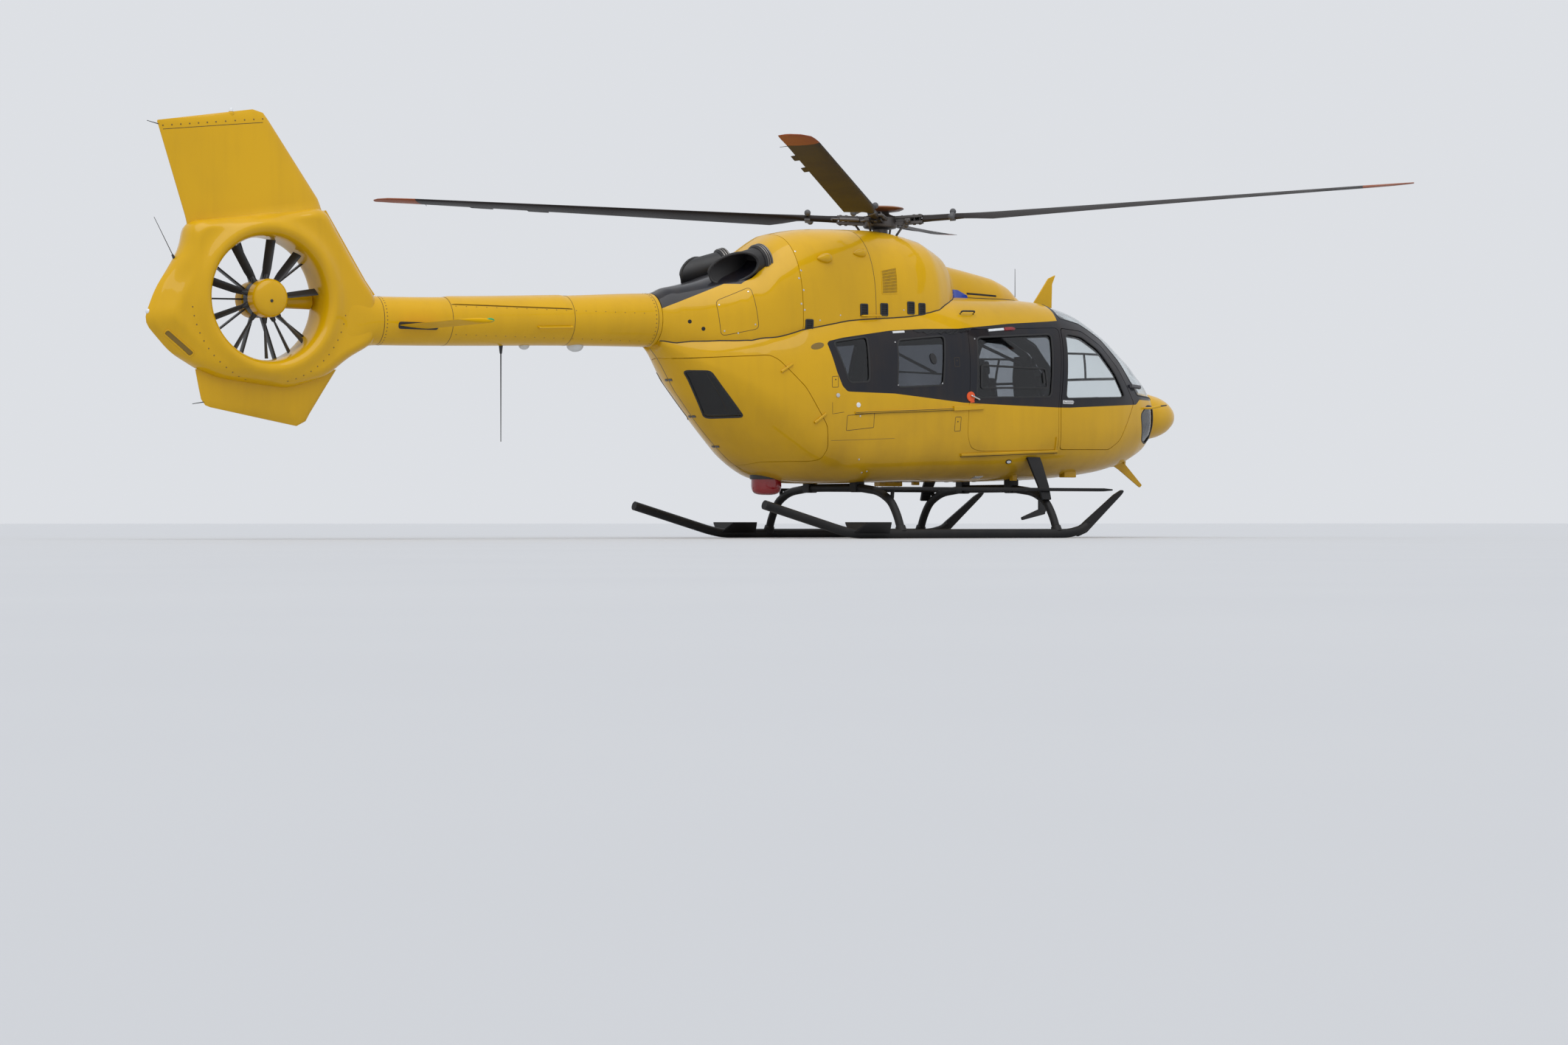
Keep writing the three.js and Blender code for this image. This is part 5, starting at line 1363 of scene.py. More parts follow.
SIDES = (("right", 1), ("left", -1))
PAW = {"from": -1.23, "to": -0.78, "wing": 0.19, "rise": 0.15, "thick": 0.014}
skid_xz = eased(SKID_ROUTE, 0.16)
for side, way in SIDES:
    y = -way * SKID["y"]
    path = columns(skid_xz[:, 0], y, skid_xz[:, 1])
    lift = SKID["radius"] - SKID["z"] + 0.0002
    parts = [swept(path + (0, 0, lift), circle(SKID["radius"], 20), (0, 1, 0))]
    for wing in (1, -1):
        ring = np.array([
            (PAW["from"], y + wing * 0.03, 0.04), (PAW["to"], y + wing * 0.03, 0.04),
            (PAW["to"] - 0.09, y + wing * PAW["wing"], PAW["rise"]),
            (PAW["from"] + 0.06, y + wing * PAW["wing"], PAW["rise"]),
        ])
        parts.append(lofted([ring, ring + (0, 0, PAW["thick"])]))
    parts.append(plate(SKID_FIN, y - 0.015, y + 0.015, 0.014))
    for x in (1.74, 1.83):
        parts.append(rod((x, y - 0.019, x - 1.66), (x, y + 0.019, x - 1.66), 0.012))
    piece(f"skid_runner_{side}", parts, gear_paint, "black_paint", f"skid_{side}")

STEP = {"y": 1.0, "z": 0.505}
# Sections of a board with tapered ends: x, half width, half thickness
STEP_SECTIONS = [
    (-0.81, 0.014, 0.007), (-0.8, 0.019, 0.009), (-0.66, 0.06, 0.017), (2.16, 0.06, 0.017),
    (2.3, 0.019, 0.009), (2.31, 0.014, 0.007),
]
STRUT_X = 1.375
STRUT_THICK = 0.024
# The broad strut from the cabin's side to the front tube: distance from the middle plane, height
# and half width
STRUT_ROWS = [
    (0.822, 0.838, 0.084), (0.86, 0.775, 0.084), (0.99, 0.54, 0.068), (1.046, 0.395, 0.056),
]
for side, way in SIDES:
    y = -way * STEP["y"]
    rings = []
    for x, half, thick in STEP_SECTIONS:
        corners = [(y - half, -thick), (y + half, -thick), (y + half, thick), (y - half, thick)]
        rings.append(columns(x, *(rounded(corners, thick * 0.6, UNCUT) + (0, STEP["z"])).T))
    parts = [lofted(rings)]
    strut_rings = []
    for off, z, half in STRUT_ROWS:
        x = STRUT_X + half * np.array([-1, 1, 1, -1])
        out = off + STRUT_THICK * np.array([0, 0, 1, 1])
        strut_rings.append(columns(x, -way * out, z + 0.3 * (out - off)))
    parts.append(lofted(strut_rings))
    for _, x in CROSS_TUBES:
        parts.append(rod((x + 0.03, -way * 0.985, 0.4), (x + 0.03, y, STEP["z"]), 0.02))
    piece(f"step_board_tread_{side}", parts, gear_paint, "black_paint", f"step_board_{side}")


# Nose: a thin moulded dome of plain composite over the radar, screwed on under the windscreen, and
# two wire cutters of steel plate with sharpened throats, bolted on above and below.
DOME = [
    (0.25, 3.382), (0.256, 3.4), (0.262, 3.48), (0.26, 3.56), (0.245, 3.65), (0.228, 3.73),
    (0.205, 3.8), (0.18, 3.855), (0.15, 3.9), (0.118, 3.942), (0.08, 3.972), (0.04, 3.992),
    (0.006, 3.9995),
]
DOME_HEIGHT = 1.325
dome = turned(DOME, (0, 0, DOME_HEIGHT), (1, 0, 0), 64)
piece("nose_radome_skin", dome, yellow_paint, "yellow_composite", "nose_radome")

upper_cutter = plate([
    (1.98, 2.44), (2.25, 2.8), (2.345, 2.84), (2.3, 2.74), (2.29, 2.38),
], -0.009, 0.009)
lower_cutter = plate([
    (3.03, 0.85), (3.35, 0.96), (3.33, 0.8), (3.57, 0.57), (3.54, 0.545), (3.24, 0.74),
], -0.009, 0.009)
BRACE_FOOT = (3.318, 0.0, 0.8)
braces = [rod(BRACE_FOOT, end, 0.008) for end in (
    (2.56, 0, 0.7), (3.2, 0.145, 0.955), (3.2, -0.145, 0.955),
)]
lower_cutter = joined([lower_cutter, *braces])
piece("upper_cutter_blade", upper_cutter, yellow_paint, "yellow_paint", "wire_cutter_upper")
piece("lower_cutter_blade", lower_cutter, yellow_paint, "yellow_paint", "wire_cutter_lower")

# Belly antenna and beacon: a bent blade of black moulded plastic, and a red glass lens in a black
# collar, both screwed to the floor's skin.
antenna = joined([
    box_form((2.12, -0.014, 0.27), (2.21, 0.014, 0.66), 0.012),
    plate([(2.21, 0.3), (2.11, 0.3), (1.88, 0.215), (1.89, 0.185), (2.2, 0.25)], -0.013, 0.013),
])
piece("belly_antenna_blade", antenna, black_composite, "black_paint", "belly_antenna")
red_tints = clouded(8.0, (0.2, 0.004, 0.008, 1), (0.32, 0.012, 0.014, 1), (1, 1, 30))
lamp_red = finish("red_lens", red_tints, 0.14, Coat_Weight=0.5)
BELLY_BEACON = (-1.44, 0, 0)
beacon = turned([
    (0.01, 0.4405), (0.05, 0.442), (0.09, 0.447), (0.12, 0.458), (0.14, 0.476), (0.15, 0.5),
    (0.155, 0.53), (0.155, 0.7),
], BELLY_BEACON, sides=48)
piece("belly_beacon_lens", beacon, lamp_red, "lamp_red", "belly_beacon")
collar = turned([
    (0.15, 0.6), (0.168, 0.602), (0.17, 0.615), (0.17, 0.7), (0.15, 0.702),
], BELLY_BEACON, sides=48)
piece("belly_beacon_collar", collar, black_composite, "black_composite")


# Fittings on the cowlings: seams, air inlets with slats over flat black throats of painted shade, a
# grille over a dark plate of painted shade, blisters, handles, lamps, vents of painted shade and a
# whip antenna. Each is given in the side view and laid on the skin that is met there.
def surface_of(forms):
    """The forms as one surface that rays can be sent to."""
    points, faces = joined(forms)
    return BVHTree.FromPolygons(points.tolist(), [f for group in faces for f in group.tolist()])


def met(tree, starts, way=(0.0, 1.0, 0.0)):
    """Where rays from the starts meet a surface, and the surface's outward normals there. A ray
    that misses it, just past its edge, takes the depth and normal of the nearest that doesn't."""
    starts, way = np.asarray(starts, float), np.array(way)
    hits = [tree.ray_cast(Vector(start), Vector(way)) for start in starts.tolist()]
    good = np.array([i for i, hit in enumerate(hits) if hit[0] is not None])
    near = good[np.abs(np.arange(len(hits))[:, None] - good).argmin(1)]
    normals = np.array([hits[i][1][:] for i in near])
    points = starts + way * np.array([hits[i][3] for i in near])[:, None]
    turned_in = (normals @ way) > 0
    normals[turned_in] *= -1
    return points, normals


def spaced(points, step=0.04, closed=False):
    """A route with points no further apart than the step."""
    p = np.array(points, float)
    if closed:
        p = np.concatenate([p, p[:1]])
    line = [p[:1]]
    for a, b in zip(p, p[1:]):
        count = max(1, int(np.ceil(np.linalg.norm(b - a) / step)))
        line.append(a + (b - a) * (np.arange(1, count + 1) / count)[:, None])
    line = np.concatenate(line)
    return line[:-1] if closed else line


def from_side(tree, route):
    """Where side-view points lie on the starboard skin, seen square from well outside it."""
    return met(tree, columns(route[:, 0], -3.0, route[:, 1]))


def beside(tree, points, step=0.04, closed=False):
    """A side-view route laid on the starboard skin: its points and their normals."""
    return from_side(tree, spaced(points, step, closed))


def ribbon(points, normals, width, proud, closed=False, sunk=0.002):
    """A flat strip on a skin, standing proud of it, with slightly bevelled edges."""
    w, b = width / 2, min(width, proud) * 0.2
    profile = np.array([
        (w, -sunk), (w, proud - b), (w - b, proud), (b - w, proud), (-w, proud - b), (-w, -sunk),
    ])
    return swept(points, profile, normals, closed)


SEAM = (0.005, 0.0008)  # width of a seam's line, and how far it stands proud


def strip(tree, points, width, proud=0.0008, closed=False, step=0.04):
    """A flat strip along a side-view route on the starboard skin."""
    return ribbon(*beside(tree, points, step, closed), width, proud, closed)


def box_round(x, z, width, height, radius=0.01, step=0.05):
    """A rounded rectangle in the side view, about its middle."""
    w, h = width / 2, height / 2
    return rounded([(x - w, z - h), (x + w, z - h), (x + w, z + h), (x - w, z + h)], radius, step)


def cover(tree, outline, proud, sunk=0.004):
    """A thin plate with the given side-view outline, bent to the skin that it lies on."""
    outline = spaced(outline, 0.05, True)
    middle = outline.mean(0)
    rings = []
    for share, height in (
        (1, -sunk), (1, proud * 0.7), (0.97, proud), (0.7, proud), (0.4, proud), (0.1, proud),
    ):
        points, normals = beside(tree, middle + (outline - middle) * share, UNCUT, True)
        rings.append(points + normals * height)
    return lofted(rings)


def domes(points, normals, radius, height=0.5, sides=8):
    """A low round stud at each point, standing along its normal. height is a share of the
    radius."""
    ring = circle(radius, sides)
    levels = ((1, -0.2 * radius), (0.85, 0.6 * height * radius), (0.4, height * radius))
    shape = np.concatenate([columns(*(ring * share).T, up) for share, up in levels])
    n = np.asarray(normals, float)
    u = unit(np.cross(n, np.where(np.abs(n[:, :1]) < 0.9, [[1.0, 0, 0]], [[0, 1.0, 0]])))
    v = np.cross(n, u)
    all_points = (
        np.asarray(points)[:, None]
        + shape[None, :, :1] * u[:, None]
        + shape[None, :, 1:2] * v[:, None]
        + shape[None, :, 2:] * n[:, None]
    )
    step = np.arange(len(n))[:, None, None] * len(shape)
    quads = grid_faces(3, sides)[None, :, ::-1] + step
    caps = np.stack([np.arange(sides)[::-1], np.arange(sides) + 2 * sides])[None] + step
    return outward((all_points.reshape(-1, 3), [quads.reshape(-1, 4), caps.reshape(-1, sides)]))


def studs(tree, points, radius, height=0.5, step=None):
    """Studs on the starboard skin, at the points or evenly along the route they make."""
    route = spaced(points, step) if step else np.array(points, float)
    return domes(*from_side(tree, route), radius, height)


def both(forms):
    """The starboard forms together with their mirror images to port."""
    form = joined(forms)
    return joined([form, mirrored(form)])


def loop_handle(tree, ends, stand, radius, step=0.3):
    """A round bar that stands off the starboard skin between its two bent ends."""
    points, normals = beside(tree, ends, step)
    route = np.concatenate([points[:1], points + normals * stand, points[-1:]])
    return swept(eased(route, stand * 0.8), circle(radius, 10), normals.mean(0))


seam_dark = weathered_and_shaded(
    "seam_dark", (0.03, 0.02, 0.008, 1), (0.06, 0.04, 0.015, 1), 0.6, (0.5, 0.2, 0.2),
)
silver = weathered_and_shaded(
    "bright_metal", (0.62, 0.62, 0.62, 1), (0.2, 0.18, 0.15, 1), 0.25, (0.5, 0.1, 0.0),
    metallic=0.95,
)
blue_tints = clouded(9.0, (0.01, 0.03, 0.28, 1), (0.02, 0.07, 0.5, 1))
blue_lens = finish("blue_lens", blue_tints, 0.12, Coat_Weight=0.6)

cowl_skin = surface_of(cowl_forms)
# A seam round the cowl ahead of the engines, and a four-sided hatch on each flank behind them
SEAM_AT = -0.553
seam_low = np.interp(SEAM_AT, cowl_x[::-1], cowl_seam[::-1])
seam_turns = np.linspace(seam_low, np.pi - seam_low, 90)
seam_x = np.full(90, SEAM_AT)
seams = [ribbon(skin(COWL, seam_x, seam_turns), skin_normal(COWL, seam_x, seam_turns), *SEAM)]
HATCH = [(-2.34, 2.37), (-1.98, 2.52), (-1.93, 2.1), (-2.3, 2.02)]
seams.append(both([strip(cowl_skin, rounded(HATCH, 0.05, 0.05), *SEAM, True)]))
piece("cowl_seams", seams, seam_dark, "black_composite")

INLETS = [(-1.379, 2.143), (-0.705, 2.322), (-0.453, 2.336), (-0.108, 2.365), (0.044, 2.356)]
INLET = {"width": 0.082, "height": 0.116, "bar": 0.016, "proud": 0.008}
frames, throat_shades = [], []
for x, z in INLETS:
    edge = box_round(x, z, INLET["width"], INLET["height"])
    frames.append(strip(cowl_skin, edge, INLET["bar"], INLET["proud"], True))
    # The throat is a flat near-black plate: painted shade in the inlet's opening.
    throat_shades.append(cover(cowl_skin, edge, 0.0015))
    for k in range(4):
        level = z + (k - 1.5) * 0.024
        slat = [(x - 0.034, level), (x + 0.034, level)]
        frames.append(strip(cowl_skin, slat, 0.006, 0.005, step=0.03))
piece("inlet_frames", both(frames), black_composite, "black_composite")
# Near black, with soot-brown dirt: painted shade in openings.
opening_shade_black = weathered_and_shaded(
    "painted_opening_shade", (0.006, 0.006, 0.006, 1), (0.03, 0.02, 0.01, 1), 0.7, (0.5, 0.3, 0.0),
)
piece("inlet_throat_shades", both(throat_shades), opening_shade_black, "black_composite")

GRILLE = [(-0.45, 2.738), (-0.256, 2.777), (-0.279, 2.511), (-0.471, 2.497)]
grille = [strip(cowl_skin, rounded(GRILLE, 0.01, 0.05), 0.01, 0.004, True)]
corners = np.array(GRILLE)
for share in np.linspace(0.06, 0.94, 17):
    top = corners[0] + share * (corners[1] - corners[0])
    low = corners[3] + share * (corners[2] - corners[3])
    grille.append(strip(cowl_skin, [top, low], 0.005, 0.003))
for share in np.linspace(0.12, 0.88, 7):
    rear = corners[0] + share * (corners[3] - corners[0])
    front = corners[1] + share * (corners[2] - corners[1])
    grille.append(strip(cowl_skin, [rear, front], 0.004, 0.0025))
piece("cowl_grille", both(grille), yellow_paint, "yellow_composite")
# Behind the slats a flat dark plate: painted shade in the grille's opening.
piece("grille_throat_shade", both([cover(cowl_skin, GRILLE, 0.001)]), seam_dark, "black_composite")

BUMPS = [(-1.124, 2.836, 0.088, 0.05), (-0.669, 2.909, 0.08, 0.042)]
blisters = []
for x, z, long, wide in BUMPS:
    (at,), (normal,) = beside(cowl_skin, [(x, z)])
    t = np.linspace(-1, 1, 15)
    swell = np.sqrt(np.clip(1 - t**2, 0, 1)) * (1 + 0.35 * t)
    swell[[0, -1]] = 0.06
    path = at + normal * 0.004 + np.outer(t, (long, 0, 0.004))
    blisters.append(swept(path, circle(wide, 20), normal, sizes=swell))
piece("cowl_blisters", both(blisters), yellow_paint, "yellow_composite")

hull = surface_of([cabin_skin, *cowl_forms, sliding_leaf[0], cockpit_leaf[0], clamshell_leaf[0]])
handles = [loop_handle(hull, [(-0.737, 2.262), (-0.514, 2.272)], 0.035, 0.009)]
piece("cowl_handles", both(handles), yellow_paint, "yellow_paint")
roof_handle = [loop_handle(hull, [(0.542, 2.326), (0.714, 2.33)], 0.045, 0.009)]
piece("roof_handles", both(roof_handle), black_composite, "black_paint")
# Wrinkled black film on the band's upper edge, between the middle window and the sliding door
film_x = np.linspace(-0.14, 0.62, 40)
film_top = np.interp(film_x, [row[0] for row in BAND], [row[2] for row in BAND]) - 0.008
wave = np.sin(film_x * 31) * np.sin(film_x * 11 + 1) + 0.6 * np.sin(film_x * 67)
film_end = np.sqrt(np.clip(1 - ((film_x - 0.24) / 0.385) ** 2, 0.04, 1))
film_low = film_top - (0.045 + 0.012 * wave) * film_end
points, normals = beside(hull, columns(film_x, film_top), UNCUT)
lows, _ = beside(hull, columns(film_x, film_low), UNCUT)
rings = []
for i in range(len(film_x)):
    share = np.linspace(0, 1, 9)[:, None]
    across = points[i] + (lows[i] - points[i]) * share
    bulge = 0.0035 + 0.002 * np.sin(np.linspace(0, 9, 9) + film_x[i] * 90)[:, None]
    outer = across + normals[i] * bulge
    rings.append(np.concatenate([outer, (across - normals[i] * 0.004)[::-1]]))
film_black = weathered_and_shaded(
    "film_black", (0.005, 0.005, 0.006, 1), (0.02, 0.02, 0.02, 1), 0.1, (0.3, 0.3, 0.0), 0.002,
)
piece("band_film", both([lofted(np.array(rings))]), film_black, "black_composite")
latches = [
    studs(cowl_skin, [
        (-1.428, 2.9), (-1.432, 2.7), (-1.434, 2.5), (-1.434, 2.3), (-1.47, 2.62), (-1.47, 2.36),
    ], 0.012, 0.3),
    studs(cowl_skin, [
        (-1.25, 2.2), (-1.0, 2.26), (-0.2, 2.34), (0.25, 2.35), (0.4, 2.38),
    ], 0.009, 0.3),
    studs(cowl_skin, [
        (-2.31, 2.33), (-2.01, 2.47), (-1.97, 2.14), (-2.27, 2.07), (-2.14, 2.05),
    ], 0.01, 0.3),
]
piece("cowl_latches", both(latches), silver, "engine_metal")
# Two flat dark discs and a strip: painted shade in the vents' openings.
vent_shades = [
    studs(cowl_skin, [(-2.6, 2.16), (-2.47, 2.09)], 0.024, 0.1),
    strip(cowl_skin, [(0.9, 2.57), (1.32, 2.56)], 0.02, 0.002),
]
piece("cowl_vent_shades", both(vent_shades), opening_shade_black, "black_composite")
BLUE = rounded([(0.7, 2.605), (0.77, 2.6), (0.9, 2.545), (0.9, 2.508), (0.7, 2.508)], 0.014, 0.03)
piece("roof_lamps", both([cover(cowl_skin, BLUE, 0.014)]), blue_lens, "glazing")
whips = [
    rod((1.794, 0, 2.5), (1.794, 0, 2.56), 0.014, 0.008),
    rod((1.794, 0, 2.54), (1.794, 0, 2.885), 0.004, 0.0025),
]
piece("roof_whip", whips, black_composite, "black_paint")

# Ribbed clamps where the exhaust pipes leave the cowl
collars = []
for way in (1, -1):
    axis = unit([-1.0, way * EXHAUST_LEAN[0], EXHAUST_LEAN[1]])
    start = np.array([EXHAUST["front"], way * EXHAUST["y"], EXHAUST["z"]]) - axis * 0.03
    for k in range(3):
        profile = [(0.13, 0.0), (0.164, 0.002), (0.167, 0.01), (0.164, 0.018), (0.13, 0.02)]
        collars.append(turned(profile, start + axis * 0.026 * k, axis, 40))
clamp_metal = weathered_and_shaded(
    "clamp_metal", (0.2, 0.19, 0.18, 1), (0.06, 0.05, 0.04, 1), 0.4, (0.8, 0.2, 0.0), metallic=0.9,
)
piece("exhaust_clamps", collars, clamp_metal, "exhaust_metal")


# Fittings on the cabin's sides: the sliding door's rail, bar and ledge, panels and caps, the
# lamps, the handles, and the frames inside the windows.
RAIL = [(-0.944, 1.27), (0.3, 1.331)]
BAR = [(0.3, 1.333), (0.685, 1.355)]
LEDGE = [(0.41, 0.857), (1.7, 0.914)]
rails = [
    strip(hull, RAIL, 0.024, 0.012), strip(hull, BAR, 0.048, 0.022),
    strip(hull, LEDGE, 0.026, 0.024), strip(hull, [(1.678, 0.885), (1.682, 1.06)], 0.022, 0.014),
]
piece("door_rails", both(rails), yellow_paint, "yellow_paint")
# The first three dark lines are painted: shade in the rail's slot, and shadow along the lower edges
# of the rail and the ledge. Then dark seams round panels, studs and the foot lamp's rim.
seams_and_shade_lines = [
    strip(hull, [(-0.94, 1.27), (0.3, 1.331)], 0.008, 0.0128),
    strip(hull, [(-0.94, 1.2565), (0.3, 1.3175)], 0.004, 0.0128),
    strip(hull, [(0.41, 0.842), (1.7, 0.899)], 0.006, 0.02),
]
for panel in (
    [(-1.212, 1.629), (-1.138, 1.635), (-1.143, 1.523), (-1.216, 1.52)],
    [(0.331, 1.246), (0.405, 1.25), (0.392, 1.104), (0.317, 1.098)],
    [(-1.035, 1.24), (-0.703, 1.269), (-0.713, 1.123), (-1.05, 1.086)],
    [(0.335, 1.86), (0.40, 1.864), (0.403, 1.77), (0.338, 1.766)],
):
    seams_and_shade_lines.append(strip(hull, rounded(panel, 0.012, 0.05), *SEAM, True))
seams_and_shade_lines.append(strip(hull, [(-1.215, 1.369), (-1.215, 1.252), (-1.077, 1.273)], 0.004))
seams_and_shade_lines.append(studs(hull, [(-1.172, 1.6), (0.362, 1.2), (0.37, 1.83)], 0.009, 0.15))
FOOT_LAMP = (1.067, 0.796)
seams_and_shade_lines.append(cover(hull, circle(1.0, 16) * (0.04, 0.022) + FOOT_LAMP, 0.008))
piece("side_seams_and_shade_lines", both(seams_and_shade_lines), seam_dark, "black_composite")
# A flat oval disc of dark olive yellow: painted shade where a shallow oval recess is. A faint line
# lower on the side shares its colour.
OVAL = (-1.342, 1.935)
oval = circle(1.0, 24) * (0.078, 0.033)
oval = columns(oval[:, 0], oval[:, 1] + oval[:, 0] * 0.22) + OVAL
painted_shade = weathered_and_shaded("recess_painted_shade", (0.2, 0.12, 0.012, 1), GRIME_AND_SHADE, 0.5, (0.5, 0.2, 0.0))
recess = [cover(hull, oval, 0.001), strip(hull, [(-1.226, 0.983), (-0.449, 1.016)], 0.004)]
piece("oval_recess_shade", both(recess), painted_shade, "yellow_composite")
caps = [
    studs(hull, [(-1.15, 1.441)], 0.026, 0.4),
    studs(hull, [(-0.881, 1.236), (-0.876, 0.798), (-0.784, 0.666), (-0.73, 0.678)], 0.011, 0.5),
    studs(hull, [(-0.395, 2.0), (0.215, 2.055), (-0.40, 1.56), (0.165, 1.59)], 0.009, 0.4),
    studs(hull, [(0.635, 2.065), (1.655, 2.13), (1.6, 1.5), (0.62, 1.47)], 0.009, 0.4),
]
piece("side_caps", both(caps), silver, "engine_metal")
white_tints = clouded(30.0, (0.62, 0.64, 0.66, 1), (0.8, 0.82, 0.84, 1))
white_lens = finish("white_lens", white_tints, 0.12, Coat_Weight=0.6)
lamp_forms = [
    studs(hull, [(-0.9, 1.348)], 0.03, 0.2),
    strip(hull, [(-0.405, 2.1), (-0.257, 2.112)], 0.022, 0.008),
    strip(hull, [(0.838, 2.158), (1.045, 2.178)], 0.026, 0.012),
    cover(hull, circle(1.0, 16) * (0.028, 0.013) + FOOT_LAMP, 0.012),
]
piece("side_lamps", both(lamp_forms), white_lens, "glazing")
red_bar = [strip(hull, [(1.055, 2.179), (1.195, 2.19)], 0.034, 0.016)]
piece("side_lamps_red", both(red_bar), lamp_red, "lamp_red")
orange = weathered_and_shaded(
    "safety_orange", (0.78, 0.09, 0.01, 1), (0.2, 0.05, 0.02, 1), 0.4, (0.3, 0.2, 0.0),
)
lever_plate = [cover(hull, circle(0.052, 24) + (0.53, 1.462), 0.008)]
lever_plate.append(strip(hull, [(0.535, 1.5), (0.55, 1.4)], 0.052, 0.005))
piece("lever_plates", both(lever_plate), orange, "yellow_paint")
lever = [loop_handle(hull, [(0.53, 1.47), (0.63, 1.432)], 0.022, 0.009)]
piece("door_levers", both(lever), silver, "engine_metal")
cockpit_handle = [
    loop_handle(hull, [(1.785, 1.43), (1.9, 1.432)], 0.024, 0.008),
    cover(hull, box_round(1.84, 1.43, 0.15, 0.04), 0.004),
]
hinges = [
    strip(hull, [(-1.762, 1.667), (-1.644, 1.746)], 0.022, 0.022),
    strip(hull, [(-1.424, 1.161), (-1.294, 1.254)], 0.022, 0.022),
]
centre_latches = []
for z in (1.591, 1.229, 0.93):
    starts = [(-4.0, y, z) for y in (-0.012, -0.035, -0.06)]
    centre_latches.append(ribbon(*met(hull, starts, (1.0, 0.0, 0.0)), 0.024, 0.008))
pairs(
    ("cockpit_handle", cockpit_handle, silver, "engine_metal", "", "cockpit_door_{}"),
    ("clamshell_arms", hinges, yellow_paint, "yellow_paint", "", "clamshell_{}"),
    ("clamshell_latches", centre_latches, lead_grey, "engine_metal", "", "clamshell_{}"),
)

# Bars over and behind the panes, in black
window_skin = surface_of([pane_forms[name] for name, *_ in WINDOWS])


def inner_bar(points, width, depth, closed=False):
    """A bar that follows the glass at a depth behind its outer face."""
    hits, normals = beside(window_skin, points, 0.04, closed)
    return ribbon(hits - normals * depth, normals, width, 0.008, closed, 0.006)


sliding_frame = rounded([(0.69, 1.79), (1.545, 1.775), (1.56, 1.575), (0.675, 1.555)], 0.03, 0.05)
bars = [
    inner_bar(sliding_frame, 0.02, -0.002, True),
    inner_bar([(1.52, 1.62), (1.51, 1.73)], 0.03, -0.006),
    inner_bar([(0.66, 2.04), (1.335, 1.783)], 0.03, 0.03),
]
vent = circle(1.0, 20) * (0.04, 0.062)
bars.append(cover(window_skin, vent @ np.array([[0.9, 0.3], [-0.3, 0.9]]) + (0.07, 1.842), 0.012))
piece("window_frames", both(bars), rubber, "black_composite")
cockpit_bars = [
    inner_bar([(1.855, 1.95), (2.16, 1.955), (2.43, 1.955)], 0.02, 0.014),
    inner_bar([(2.15, 1.955), (2.13, 1.68)], 0.02, 0.014),
    inner_bar([(1.83, 1.665), (2.13, 1.68), (2.6, 1.7)], 0.026, 0.014),
]
pairs(("cockpit_bars", cockpit_bars, rubber, "black_composite", "", "cockpit_door_{}"))


# Belly fittings: drain plugs, black seals round shallow fairings, machined brackets for slung
# loads and bright steel rings, all screwed or bonded to the floor's skin.
def under(points, step=0.05, closed=False):
    """A route in the plan view laid on the belly."""
    route = spaced(points, step, closed)
    return met(hull, columns(*route.T, -1.0), (0.0, 0.0, 1.0))


PLUGS = [(-0.122, 0.241), (0.374, 0.206), (1.052, 0.24), (1.051, 0.085), (1.843, 0.068)]
PLUGS += [(x, -y) for x, y in PLUGS[:4]]
belly = [domes(*under(PLUGS, UNCUT), 0.03, 0.15, 16)]
for middle, radii in (((-0.05, 0.24), (0.22, 0.13)), ((0.4, 0.19), (0.17, 0.12))):
    for way in (1, -1):
        outline = circle(1.0, 24) * radii + (middle[0], middle[1] * way)
        belly.append(ribbon(*under(outline, UNCUT, True), 0.006, 0.002, True))
belly.append(ribbon(*under([(1.79, 0.02), (1.9, 0.12)]), 0.03, 0.004))
belly.append(ribbon(*under([(1.79, 0.12), (1.9, 0.02)]), 0.03, 0.004))
piece("belly_seals", belly, seam_dark, "black_composite")
brackets = [
    box_form((0.36, 0.5, 0.545), (0.66, 0.6, 0.63), 0.012),
    box_form((0.83, 0.53, 0.56), (0.91, 0.57, 0.63), 0.008),
    box_form((1.5, 0.6, 0.53), (1.59, 0.62, 0.66), 0.006),
    box_form((2.03, -0.55, 0.64), (2.19, -0.46, 0.71), 0.01),
    box_form((1.27, -0.62, 0.6), (1.33, -0.57, 0.68), 0.006),
]
piece("belly_brackets", brackets, yellow_paint, "yellow_paint")
belly_plates = [ribbon(*under([(0.76, -0.6), (0.87, -0.6)]), 0.07, 0.004)]
for x, z in ((0.4, 0.56), (0.62, 0.56)):
    ring = circle(0.03, 12)
    hoop = columns(x + ring[:, 0], 0.55, z - 0.02 + ring[:, 1])
    belly_plates.append(swept(hoop, circle(0.005, 6), (0, 1, 0), closed=True))
piece("belly_plates", belly_plates, silver, "engine_metal")


# Fittings on the tail: the drive shaft's cover along the boom, two radome domes and a whip below,
# a grab handle, rows of rivets, and the fin's cap seam, beacon, wick and tail lights.
SHAFT_COVER = {"rear": -5.2, "front": -3.88, "z": 2.25, "proud": 0.009}


def on_boom(x, angle, proud=0.0):
    """A point of the boom's skin and the outward normal there."""
    _, _, half, high = np.moveaxis(rows_at(BOOM, x), -1, 0)
    across, up = np.cos(angle) / half, np.sin(angle) / high
    size = np.sqrt(across**2 + up**2)
    normal = columns(0.0, across / size, up / size)
    return boom_at(x, angle) + normal * proud, normal


def boom_angle_at(x, z):
    """The boom's angle at a height, on its port side."""
    _, axis, _, high = np.moveaxis(rows_at(BOOM, x), -1, 0)
    return np.arcsin((z - axis) / high)


def ball(at, radii, rows=10, sides=20):
    """An ellipsoid."""
    t = np.linspace(-np.pi / 2, np.pi / 2, rows + 2)[1:-1]
    points, faces = turned([(np.cos(a), np.sin(a)) for a in t], (0, 0, 0), sides=sides)
    return points * radii + at, faces


